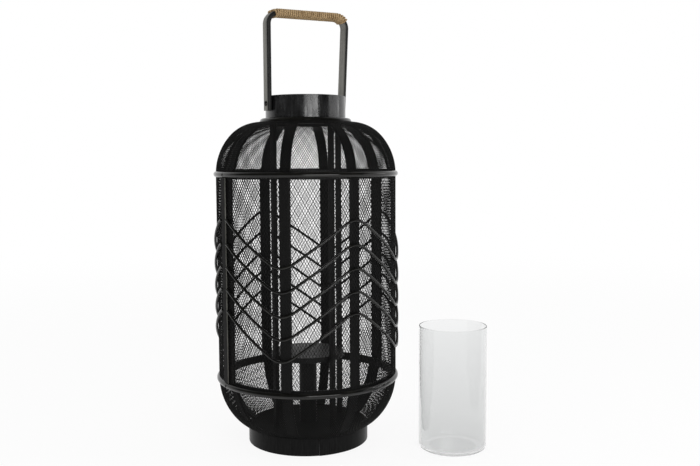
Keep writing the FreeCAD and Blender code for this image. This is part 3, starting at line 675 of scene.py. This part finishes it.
def black_stain(name, stretch, shine, gloss=0.42, edges=None):
    """Black stain on wood or bamboo, with the grain showing along its length."""
    finish = Finish(name, Specular_IOR_Level=shine)
    grain = finish.noise(finish.place(stretch), scale=60.0, detail=6.0, roughness=0.6)
    patches = finish.noise(finish.place(), scale=14.0, detail=3.0)
    finish.set("Base Color", finish.ramp(
        grain, (0.30, grey(0.0045)), (0.58, grey(0.0075)), (0.82, grey(0.016)),
    ))
    rough = finish.calc("MULTIPLY", grain, patches)
    finish.set("Roughness", finish.between(rough, gloss - 0.10, gloss + 0.35))
    normal = finish.softened_edges(edges) if edges else None
    finish.bump(grain, distance=0.4 * MM, strength=0.35, normal=normal)
    return finish.material


def polished_bamboo():
    """Round rods and hoops, black and smooth enough to show a thin line of light."""
    finish = Finish("polished_bamboo", Specular_IOR_Level=0.35)
    clouds = finish.noise(finish.place(), scale=55.0, detail=3.0)
    pores = finish.noise(finish.place(), scale=800.0, detail=4.0)
    finish.set("Base Color", finish.ramp(
        clouds,
        (0.30, (0.0030, 0.0030, 0.0027)),
        (0.55, (0.0055, 0.0054, 0.0046)),
        (0.80, (0.0130, 0.0126, 0.0105)),
    ))
    finish.set("Roughness", finish.between(clouds, 0.06, 0.24))
    finish.bump(pores, distance=0.05 * MM, strength=0.25)
    return finish.material


def edged_slat():
    """Black slat whose rounded edges are painted pale, as a painted highlight."""
    finish = Finish("edged_slat", Specular_IOR_Level=0.06)
    grain = finish.noise(finish.place((9.0, 9.0, 0.7)), scale=60.0, detail=6.0, roughness=0.6)
    face = finish.ramp(grain, (0.30, grey(0.0035)), (0.80, (0.0100, 0.0100, 0.0095)))
    # Painted highlight: the rounded edges get a pale colour and the flats stay black
    wear_and_painted_highlight = finish.ramp(grain, (0.30, (0.050, 0.050, 0.045)), (0.80, (0.170, 0.166, 0.150)))
    finish.set("Base Color", finish.mix(finish.attribute("flat"), wear_and_painted_highlight, face))
    finish.set("Roughness", finish.between(grain, 0.40, 0.70))
    finish.bump(grain, distance=0.3 * MM, strength=0.3)
    return finish.material


def brushed_collar():
    """Black lacquer laid on by brush: upright streaks and cloudy patches that catch the light."""
    finish = Finish(
        "brushed_collar", Specular_IOR_Level=0.65, Anisotropic=0.85, Anisotropic_Rotation=0.25,
    )
    streaks = finish.noise(finish.place((9.0, 9.0, 0.9)), scale=26.0, detail=6.0, roughness=0.65)
    clouds = finish.noise(finish.place((2.0, 2.0, 1.0)), scale=38.0, detail=4.0, roughness=0.6)
    mixed = finish.calc("ADD", streaks, clouds)
    wear_and_painted_highlight = finish.graded(mixed, 0.7, 1.3)
    finish.set("Base Color", finish.ramp(
        wear_and_painted_highlight,
        (0.15, grey(0.002)),
        (0.60, (0.005, 0.005, 0.0055)),
        (0.95, (0.020, 0.0205, 0.0215)),
    ))
    finish.set("Roughness", finish.between(wear_and_painted_highlight, 0.14, 0.36))
    finish.set("Tangent", finish.result("ShaderNodeTangent", direction_type="RADIAL", axis="Z"))
    finish.bump(mixed, distance=0.4 * MM, strength=0.2)
    return finish.material


def net_strand():
    """Matt black coated strand."""
    finish = Finish("net_strand", Specular_IOR_Level=0.12)
    specks = finish.noise(finish.place(), scale=900.0, detail=3.0)
    finish.set("Base Color", finish.ramp(
        specks, (0.3, grey(0.004)), (0.8, (0.011, 0.011, 0.0105)),
    ))
    finish.set("Roughness", finish.between(specks, 0.5, 0.8))
    return finish.material


def rubbed_handle():
    """Stain rubbed thin on the flats and black on the edges; on the -X leg the flats are also painted
    black towards -Y, as painted shade.
    """
    finish = Finish("rubbed_handle", Specular_IOR_Level=0.28)
    along = finish.attribute("along")
    x, y, _ = finish.parts(finish.place())
    stretched = finish.xyz(
        finish.calc("MULTIPLY", along, 9.0),
        finish.calc("MULTIPLY", y, 260.0),
        finish.calc("MULTIPLY", x, 60.0),
    )
    grain = finish.noise(stretched, scale=1.0, detail=6.0, roughness=0.65)
    rubbed = finish.ramp(
        grain,
        (0.28, (0.085, 0.084, 0.075)),
        (0.50, (0.188, 0.184, 0.166)),
        (0.80, (0.330, 0.322, 0.288)),
    )
    stain_and_painted_shade = finish.ramp(grain, (0.28, grey(0.004)), (0.80, (0.013, 0.013, 0.012)))
    # Painted shade: on the -X leg the flats turn black towards -Y, while on the +X leg they stay rubbed
    clear = finish.eased(y, -7.0 * MM, -2.0 * MM)
    leaning = finish.calc("GREATER_THAN", x, 0.0)
    bare = finish.calc("MAXIMUM", clear, leaning)
    share = finish.calc("MULTIPLY", finish.attribute("flat"), bare)
    finish.set("Base Color", finish.mix(share, stain_and_painted_shade, rubbed))
    finish.set("Roughness", finish.between(grain, 0.36, 0.62))
    finish.bump(grain, distance=0.4 * MM, strength=0.5)
    return finish.material


def jute():
    """Raw tan twine with darker fibres and paler fuzz."""
    finish = Finish("jute", Specular_IOR_Level=0.12, Sheen_Weight=0.12, Sheen_Roughness=0.6)
    place = finish.place()
    fibre = finish.noise(place, scale=1500.0, detail=4.0, roughness=0.7)
    patch = finish.noise(place, scale=130.0, detail=3.0)
    mixed = finish.between(finish.calc("ADD", fibre, patch), -0.35, 0.75)
    finish.set("Base Color", finish.ramp(
        mixed,
        (0.15, (0.060, 0.032, 0.013)),
        (0.42, (0.180, 0.108, 0.048)),
        (0.62, (0.290, 0.190, 0.090)),
        (0.90, (0.500, 0.360, 0.195)),
    ))
    finish.set("Roughness", finish.between(fibre, 0.75, 0.95))
    finish.bump(fibre, distance=0.5 * MM, strength=0.7)
    return finish.material


def clear_glass():
    """Clear glass tinted grey, painted greyer towards its foot as painted shade, with faint drawing lines.
    """
    finish = Finish("clear_glass", Transmission_Weight=1.0, IOR=1.32)
    _, _, height = finish.parts(finish.place((1.0, 1.0, 1.0 / GLASS_HIGH.z)))
    # Painted shade: the grey of the colour deepens from the lip down to the foot
    finish.set("Base Color", finish.ramp(
        height, (0.0, (0.790, 0.795, 0.795)), (1.0, (0.905, 0.91, 0.91)),
    ))
    ripple = finish.noise(finish.place((1.0, 1.0, 0.08)), scale=60.0, detail=2.0)
    finish.set("Roughness", finish.between(ripple, 0.0, 0.012))
    finish.bump(ripple, distance=0.1 * MM, strength=0.15)
    return finish.material


def dark_nail():
    """Blackened nail head."""
    finish = Finish("dark_nail", Metallic=0.6)
    wear_and_painted_highlight = finish.noise(finish.place(), scale=1200.0, detail=3.0)
    finish.set("Base Color", finish.ramp(wear_and_painted_highlight, (0.3, grey(0.006)), (0.8, (0.04, 0.04, 0.038))))
    finish.set("Roughness", finish.between(wear_and_painted_highlight, 0.35, 0.6))
    return finish.material


upright_grain = black_stain("upright_grain", (9.0, 9.0, 0.8), shine=0.15, edges=0.7 * MM)
level_grain = black_stain("level_grain", (1.6, 1.6, 9.0), shine=0.2, edges=0.7 * MM)
rib_bamboo = black_stain("rib_bamboo", (9.0, 9.0, 0.7), shine=0.15)
board_grain = black_stain("board_grain", (1.6, 9.0, 9.0), shine=0.03, gloss=0.60)
slat_bamboo = edged_slat()
rod_bamboo = polished_bamboo()
foot_wood = black_stain("foot_wood", (7.0, 7.0, 0.9), shine=0.06, gloss=0.30)
collar_wood = brushed_collar()
strand = net_strand()
handle_wood = rubbed_handle()
twine = jute()
glass = clear_glass()
nail = dark_nail()


# Net

def make_nets():
    tree = net_tree()
    middle = NET_THICKNESS / 2
    edge = Vector((COLLAR_RADIUS + NET_TO_COLLAR, 0, DOME_TOP - middle))
    upper = dome.points(QUARTER, middle, steps=40) + [edge]
    lower = belly.points(belly.angle_at(FOOT_TOP, middle), middle, steps=30)
    wall_x = NET_RADIUS - middle
    wall = [Vector((wall_x, 0, LOWER_LEVEL)), Vector((wall_x, 0, UPPER_LEVEL))]
    nets = (
        ("net_dome", "dome_net", upper, {
            "Strands": 240, "Rows": 20.0, "Rings": 30, "Gather": 0.8,
            "Strand width": 0.42 * MM, "Strand depth": 0.66 * MM,
        }),
        ("net_wall", "body_net", wall, {
            "Strands": 188, "Rows": 38.0, "Rings": 24, "Gather": 0.0,
            "Strand width": 0.62 * MM, "Strand depth": 0.60 * MM,
        }),
        ("net_base", "base_net", lower, {
            "Strands": 240, "Rows": 19.0, "Rings": 24, "Gather": 0.5,
            "Strand width": 0.52 * MM, "Strand depth": 0.66 * MM,
        }),
    )
    for name, node, outline, sizes in nets:
        sizes["Material"] = strand
        grown(name, outline, tree, sizes, "lantern", [node])


# Ribs and seam slat

def slat_sizes(width, thickness, edge, waver, material, bearing=0.0, seed=0.0, foot=1.0, top=1.0):
    """What the slat tree needs for one slat that bends in an upright plane."""
    return {
        "Width": width, "Thickness": thickness, "Edge radius": edge, "Waver": waver,
        "Material": material, "First bearing": bearing, "Seed": seed,
        "Foot share": foot, "Top share": top, "Copies": 1, "Across": (0.0, 1.0, 0.0),
    }


def ease(value):
    """Smooth step from 0 to 1."""
    share = min(1.0, max(0.0, value))
    return share * share * (3.0 - 2.0 * share)


def sunk_rib(oval, last, steps):
    """A rib's middle line on an oval: it drops behind the hoop and comes back at its end."""
    points = []
    for step in range(steps + 1):
        angle = last * step / steps
        sink = RIB_SINK * ease(angle / SINK_ANGLE) * ease((last - angle) / RETURN_ANGLE)
        points.append(oval.point(angle, RIB_DEPTH + sink))
    return points


def make_ribs(tree):
    lower = sunk_rib(belly, belly.angle_at(FOOT_TOP, RIB_DEPTH), steps=52)
    upper = sunk_rib(dome, QUARTER, steps=60)
    edge = Vector((RING_OUTSIDE + RIB_TO_RING, 0, DOME_TOP - RIB_DEPTH))
    outline = lower[::-1] + upper + [edge]
    for number, bearing in enumerate(RIB_BEARINGS, start=1):
        sizes = slat_sizes(
            WIDE_RIBS.get(number, RIB_WIDTH), RIB_THICKNESS, edge=1.1 * MM, waver=0.12,
            material=rib_bamboo, bearing=math.radians(bearing), seed=RIB_SEED_STEP * number,
            foot=0.6, top=0.85,
        )
        name = f"rib_slat_{number}"
        grown(name, outline, tree, sizes, "lantern", [f"rib_{number}"])


def make_seam_slat(tree):
    low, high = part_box("seam_slat")
    middle = (low + high) / 2
    steps = 24
    line = [Vector((middle.x, 0, low.z + (high.z - low.z) * step / steps)) for step in range(steps + 1)]
    sizes = slat_sizes(
        high.y - low.y, high.x - low.x, edge=1.2 * MM, waver=0.06, material=slat_bamboo,
    )
    grown("seam_slat_strip", line, tree, sizes, "lantern", ["seam_slat"])


# Hoops and rods

def make_hoops():
    """The hoops outside the net, their ends meeting at -X."""
    tree = hoop_tree()
    first = math.pi + HOOP_GAP
    last = 3 * math.pi - HOOP_GAP
    for name, node in (("hoop_upper", "upper_hoop"), ("hoop_lower", "lower_hoop")):
        low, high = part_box(node)
        middle = (low.z + high.z) / 2
        points = []
        for step in range(HOOP_STEPS):
            share = step / (HOOP_STEPS - 1)
            points.append(polar(NET_RADIUS + HOOP_TO_NET, first + (last - first) * share, middle))
        sizes = {
            "Height": high.z - low.z, "Depth": high.x - NET_RADIUS,
            "Across": (0.0, 0.0, 1.0), "Material": rod_bamboo,
        }
        grown(name, points, tree, sizes, "lantern", [node])


def make_collar_hoop():
    """The hoop round the collar lies flat, its round side up."""
    low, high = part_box("collar_hoop")
    width = high.x - COLLAR_RADIUS - HOOP_TO_COLLAR
    height = high.z - low.z
    middle = COLLAR_RADIUS + HOOP_TO_COLLAR + width / 2
    steps = 12
    outline = [(middle - width / 2, low.z)]
    for step in range(1, steps + 1):
        angle = math.pi * (1 - step / steps)
        outline.append((middle + width / 2 * math.cos(angle), low.z + height * math.sin(angle)))
    mesh = turned(outline, segments=144, place=Matrix.Identity(4), ring_shaped=True)
    piece("hoop_collar", mesh, "lantern", ["collar_hoop"], rod_bamboo)


def wave_fall(turn, depth, half_wave, bend):
    """Drop below the peak at a turn from it: straight runs with rounded ends."""
    rate = depth / (half_wave - bend)
    if turn <= bend:
        return rate * turn * turn / (2 * bend)
    if turn >= half_wave - bend:
        return depth - rate * (half_wave - turn) ** 2 / (2 * bend)
    return rate * (turn - bend / 2)


def make_rods():
    """Wavy rods round the net, from one edge of the seam slat to the other."""
    rods = [f"wave_rod_{number}" for number in range(1, ROD_COUNT + 1)]
    low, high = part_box(rods[0])
    next_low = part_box(rods[1])[0]
    half_wave = math.pi / ROD_WAVES
    bend = half_wave * ROD_BEND
    radius = NET_RADIUS + ROD_TO_NET + ROD_DIAMETER / 2
    peak = high.z - ROD_DIAMETER / 2
    depth = high.z - low.z - ROD_DIAMETER
    edge = (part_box("seam_slat")[1].y + ROD_DIAMETER / 2) / radius
    steps = 240
    points = []
    for step in range(steps + 1):
        turn = edge + (math.tau - 2 * edge) * step / steps
        within = turn % (2 * half_wave)
        fall = wave_fall(min(within, 2 * half_wave - within), depth, half_wave, bend)
        points.append(polar(radius, math.pi + turn, peak - fall))
    sizes = {
        "Diameter": ROD_DIAMETER, "Copies": ROD_COUNT, "Waver": 3.0 * MM,
        "Drop": low.z - next_low.z, "Bow": 0.67 * MM, "Material": rod_bamboo,
    }
    grown("wave_rods", points, rod_tree(), sizes, "lantern", rods)


# Collar and foot: strips bent into bands, one end lapped over the other

def lapped_band(radius, low, high, bearing, wall, step, lap, edge):
    """A band whose outside stands proud by a step at its joint and eases back over the lap."""
    work = bmesh.new()
    inside = radius - wall
    loops = []
    for index in range(BAND_STEPS + 1):
        turn = (math.tau - BAND_GAP) * index / BAND_STEPS
        outside = radius + step * max(0.0, 1.0 - turn / lap)
        corners = (
            (outside - edge, high - edge), (inside + edge, high - edge),
            (inside + edge, low + edge), (outside - edge, low + edge),
        )
        section = []
        for number, corner in enumerate(corners):
            section += rounding(corner, edge, 90 * number, 90 * (number + 1), steps=3)
        loops.append([work.verts.new(polar(reach, bearing + turn, height)) for reach, height in section])
    for before, after in zip(loops, loops[1:]):
        for index in range(len(before)):
            next_index = (index + 1) % len(before)
            work.faces.new((before[index], before[next_index], after[next_index], after[index]))
    work.faces.new(loops[0])
    work.faces.new(loops[-1][::-1])
    return mesh_of(work, "band")


def make_collar():
    band = lapped_band(
        COLLAR_RADIUS, COLLAR_LOW.z, COLLAR_HIGH.z, COLLAR_SEAM,
        wall=3.5 * MM, step=0.7 * MM, lap=0.5, edge=0.7 * MM,
    )
    piece("collar_band", band, "lantern", ["collar"], collar_wood)


def make_foot():
    band = lapped_band(
        FOOT_RADIUS, 0.0, FOOT_TOP, FOOT_SEAM,
        wall=4.0 * MM, step=1.0 * MM, lap=0.35, edge=0.9 * MM,
    )
    piece("foot_band", band, "lantern", ["foot_ring"], foot_wood)


# Handle

def handle_line():
    """Middle line of the strip from the foot of the -X leg, and the numbers of its bends' last points."""
    low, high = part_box("handle_strip")
    left = low.x + HANDLE_THICKNESS / 2
    top = high.z - HANDLE_THICKNESS / 2
    rise = top - low.z
    slant = math.hypot(rise, HANDLE_LEAN)
    reach = HANDLE_BEND * math.sqrt((slant + HANDLE_LEAN) / (slant - HANDLE_LEAN))
    corner = -left + HANDLE_LEAN
    turn = math.degrees(math.acos(HANDLE_LEAN / slant))
    bend_z = top - HANDLE_BEND
    points = []
    for step in range(LEG_STEPS):
        points.append((left, low.z + rise * step / LEG_STEPS * (1 - HANDLE_BEND / rise)))
    points += rounding((left + HANDLE_BEND, bend_z), HANDLE_BEND, 180, 90, BEND_STEPS)
    first_bend_end = len(points) - 1
    points += rounding((corner - reach, bend_z), HANDLE_BEND, 90, 90 - turn, BEND_STEPS)
    second_bend_end = len(points) - 1
    join_x, join_z = points[-1]
    for step in range(1, LEG_STEPS + 1):
        points.append((join_x + (-left - join_x) * step / LEG_STEPS,
                       join_z + (low.z - join_z) * step / LEG_STEPS))
    line = []
    for x, z in points:
        raised = max(0.0, 1.0 - (top - z) / (3 * HANDLE_BEND))
        line.append(Vector((x, 0, z - CORNER_DROP * raised * (corner - x) / (corner - left))))
    return line, first_bend_end, second_bend_end


def make_handle(tree):
    line, first_bend_end, second_bend_end = handle_line()
    sizes = slat_sizes(
        HANDLE_WIDTH, HANDLE_THICKNESS, edge=2.0 * MM, waver=0.05, material=handle_wood,
    )
    grown("handle_strip_bent", line, tree, sizes, "handle", ["handle_strip"])
    make_wrap(line[first_bend_end - WRAP_INSET:second_bend_end - WRAP_INSET])


def make_wrap(bar):
    """Twine wound on the crossbar."""
    sizes = {
        "Turns": WRAP_TURNS, "Steps": int(WRAP_TURNS * STEPS_PER_TURN),
        "Half width": HANDLE_WIDTH / 2 + TWINE_TO_EDGE,
        "Half thickness": HANDLE_THICKNESS / 2 + TWINE_TO_FLAT,
        "Twine diameter": 3.4 * MM, "Lay length": 8.0 * MM, "Waver": 0.9 * MM, "Material": twine,
    }
    grown("twine_wrap", bar, twine_tree(), sizes, "handle", ["handle_wrap"])


def make_pegs():
    """Two short dowels with domed ends, set into the collar."""
    low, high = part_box("pivot_pegs")
    seat = 3.3 * MM
    overhang = 1.0 * MM
    edge = 2.4 * MM
    radius = (high.z - low.z) / 2
    inside = COLLAR_RADIUS - seat
    length = high.x + overhang - inside
    outline = [(0, 0), (radius, 0)]
    outline += rounding((radius - edge, length - edge), edge, 0, 90, steps=7)
    outline.append((0, length))
    lifted = Matrix.Translation((0, 0, (low.z + high.z) / 2))
    pushed_out = Matrix.Translation((0, 0, inside))
    work = bmesh.new()
    for turn in (90.0, -90.0):
        place = lifted @ Matrix.Rotation(math.radians(turn), 4, "Y") @ pushed_out
        work.from_mesh(turned(outline, segments=28, place=place))
    piece("peg_dowels", mesh_of(work, "pegs"), "lantern", ["pivot_pegs"], rod_bamboo)


# Glass

def make_glass():
    """Open glass with a thick floor, rounded at its foot and at its lip."""
    centre = (GLASS_LOW + GLASS_HIGH) / 2
    radius = (GLASS_HIGH.x - GLASS_LOW.x) / 2
    top = GLASS_HIGH.z
    wall = 1.5 * MM
    floor = 4.0 * MM
    edge = 6.0 * MM
    hollow = 0.35 * MM
    stand_share = 0.7
    inner = radius - wall
    inner_edge = edge - wall
    lip = wall / 2
    levels = (0.25, 0.5, 0.75)
    outline = [(0, hollow), (radius * stand_share, 0.0)]
    outline += rounding((radius - edge, edge), edge, 270, 360, steps=8)
    outline += [(radius, top * level) for level in levels]
    outline += rounding((radius - lip, top - lip), lip, 0, 180, steps=8)
    outline += [(inner, top * level) for level in levels[::-1]]
    outline += rounding((inner - inner_edge, floor + inner_edge), inner_edge, 0, -90, steps=8)
    outline.append((0, floor))
    place = Matrix.Translation((centre.x, centre.y, 0))
    mesh = turned(outline, segments=160, place=place)
    piece("candle_glass", mesh, "glass", ["glass_cylinder"], glass)


# Solids that stay as they are get their finish here

def dress_solids():
    level = ("candle_platform", "top_ring", "upper_inner_band", "lower_inner_band")
    upright = ("candle_column", "post_1", "post_2", "post_3", "post_4")
    finishes = (
        (level, level_grain), (upright, upright_grain),
        (("base_board",), board_grain), (("hoop_nails",), nail),
    )
    for names, material in finishes:
        for name in names:
            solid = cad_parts[name]
            if not solid.material_slots:
                solid.data.materials.append(material)
            for slot in solid.material_slots:
                slot.material = material


# Floor, light and camera

WHITE = (1.0, 1.0, 1.0, 1.0)
VIEW_TURN = math.radians(32.0)


def studio(right, away, up):
    """A place in the studio, given to the right of, away from and above the camera's line."""
    cosine = math.cos(VIEW_TURN)
    sine = math.sin(VIEW_TURN)
    return Vector((right * cosine + away * sine, -right * sine + away * cosine, up))


def seen_rays(nodes):
    """Shares that are 1 for rays that are seen, straight or through glass, and for mirrored rays."""
    rays = nodes.add("ShaderNodeLightPath").outputs
    through = nodes.calc("GREATER_THAN", rays["Transmission Depth"], 0.5)
    direct = nodes.calc("MAXIMUM", rays["Is Camera Ray"], rays["Is Transmission Ray"])
    return nodes.calc("MAXIMUM", direct, through), rays["Is Glossy Ray"]


def make_floor():
    """Pale floor that the camera sees as white, with the shadow kept round the object."""
    half = 6.0
    shadow_reach = 0.8
    white_from = 3.0
    near_white = 0.9
    mesh = bpy.data.meshes.new("floor")
    corners = [(-half, -half, 0), (half, -half, 0), (half, half, 0), (-half, half, 0)]
    mesh.from_pydata(corners, [], [(0, 1, 2, 3)])
    floor = bpy.data.objects.new("floor", mesh)
    scene.collection.objects.link(floor)
    finish = Finish("pale_floor", Roughness=0.9, Specular_IOR_Level=0.0, Base_Color=(0.9, 0.9, 0.9, 1.0))
    seen, glossy = seen_rays(finish)
    shown = finish.calc("MAXIMUM", seen, glossy)
    reach = finish.add("ShaderNodeVectorMath", {0: finish.place()}, operation="LENGTH").outputs["Value"]
    fading = finish.eased(reach, shadow_reach, white_from, near_white, 1.0)
    share = finish.calc("MULTIPLY", shown, fading)
    white = finish.result("ShaderNodeEmission", {"Color": WHITE, "Strength": 1.0})
    mixed = finish.result("ShaderNodeMixShader", {0: share, 1: finish.shader.outputs[0], 2: white})
    finish.plug(finish.tree.nodes["Material Output"].inputs["Surface"], mixed)
    mesh.materials.append(finish.material)


def make_world():
    """White backdrop; towards the camera the room that reflections show is dark."""
    world = bpy.data.worlds.new("studio")
    scene.world = world
    world.use_nodes = True
    nodes = Nodes(world.node_tree)
    nodes.tree.nodes.clear()
    fill = 0.8
    dark_room = 0.03
    dark_until = -0.05
    bright_from = 0.55

    def backdrop(strength):
        return nodes.result("ShaderNodeBackground", {"Color": WHITE, "Strength": strength})

    direction = nodes.add("ShaderNodeTexCoord").outputs["Generated"]
    ahead = studio(right=0.0, away=1.0, up=0.0)
    away = nodes.add("ShaderNodeVectorMath", {0: direction, 1: ahead}, operation="DOT_PRODUCT")
    room = nodes.eased(away.outputs["Value"], dark_until, bright_from, dark_room, 1.0)
    seen, glossy = seen_rays(nodes)
    lit = nodes.result("ShaderNodeMixShader", {0: glossy, 1: backdrop(fill), 2: backdrop(room)})
    shown = nodes.result("ShaderNodeMixShader", {0: seen, 1: lit, 2: backdrop(1.0)})
    nodes.add("ShaderNodeOutputWorld", {"Surface": shown})


def softbox(name, place, target, width, height, watts):
    lamp = bpy.data.lights.new(name, "AREA")
    lamp.shape = "RECTANGLE"
    lamp.size = width
    lamp.size_y = height
    lamp.energy = watts
    made = bpy.data.objects.new(name, lamp)
    made.location = place
    made.rotation_euler = (target - place).to_track_quat("-Z", "Y").to_euler()
    scene.collection.objects.link(made)


def make_lights():
    middle = Vector((0.0, 0.0, 0.40))
    front = studio(right=0.52, away=-1.42, up=0.60)
    side = studio(right=1.40, away=0.06, up=0.62)
    softbox("front_softbox", front, middle, width=1.1, height=0.20, watts=8.5)
    softbox("side_softbox", side, middle, width=1.0, height=0.20, watts=1.8)


def make_camera():
    """The photograph's view: lens, place, tilt, turn and roll, for a frame of 700 by 466."""
    focal_pixels = 867.67
    frame_width = 700
    sensor = 36.0
    tilt = 0.08620
    roll = -0.00505
    turn = 0.01051
    place = studio(right=0.05473, away=-1.3836, up=0.45255)
    camera = bpy.data.cameras.new("camera")
    camera.sensor_width = sensor
    camera.sensor_fit = "HORIZONTAL"
    camera.lens = focal_pixels * sensor / frame_width
    camera.clip_start = 0.05
    camera.clip_end = 50.0
    forward = studio(math.sin(turn) * math.cos(tilt), math.cos(turn) * math.cos(tilt), -math.sin(tilt))
    right = studio(math.cos(turn), -math.sin(turn), 0.0)
    up = studio(math.sin(turn) * math.sin(tilt), math.cos(turn) * math.sin(tilt), math.cos(tilt))
    rolled_right = right * math.cos(roll) + up * math.sin(roll)
    rolled_up = up * math.cos(roll) - right * math.sin(roll)
    turned_to = Matrix((rolled_right, rolled_up, -forward)).transposed().to_4x4()
    made = bpy.data.objects.new("camera", camera)
    made.matrix_world = Matrix.Translation(place) @ turned_to
    scene.collection.objects.link(made)
    scene.camera = made


make_camera()
make_nets()
bent_slat = slat_tree()
make_ribs(bent_slat)
make_seam_slat(bent_slat)
make_hoops()
make_collar_hoop()
make_rods()
make_collar()
make_foot()
make_handle(bent_slat)
make_pegs()
make_glass()
dress_solids()
make_floor()
make_world()
make_lights()
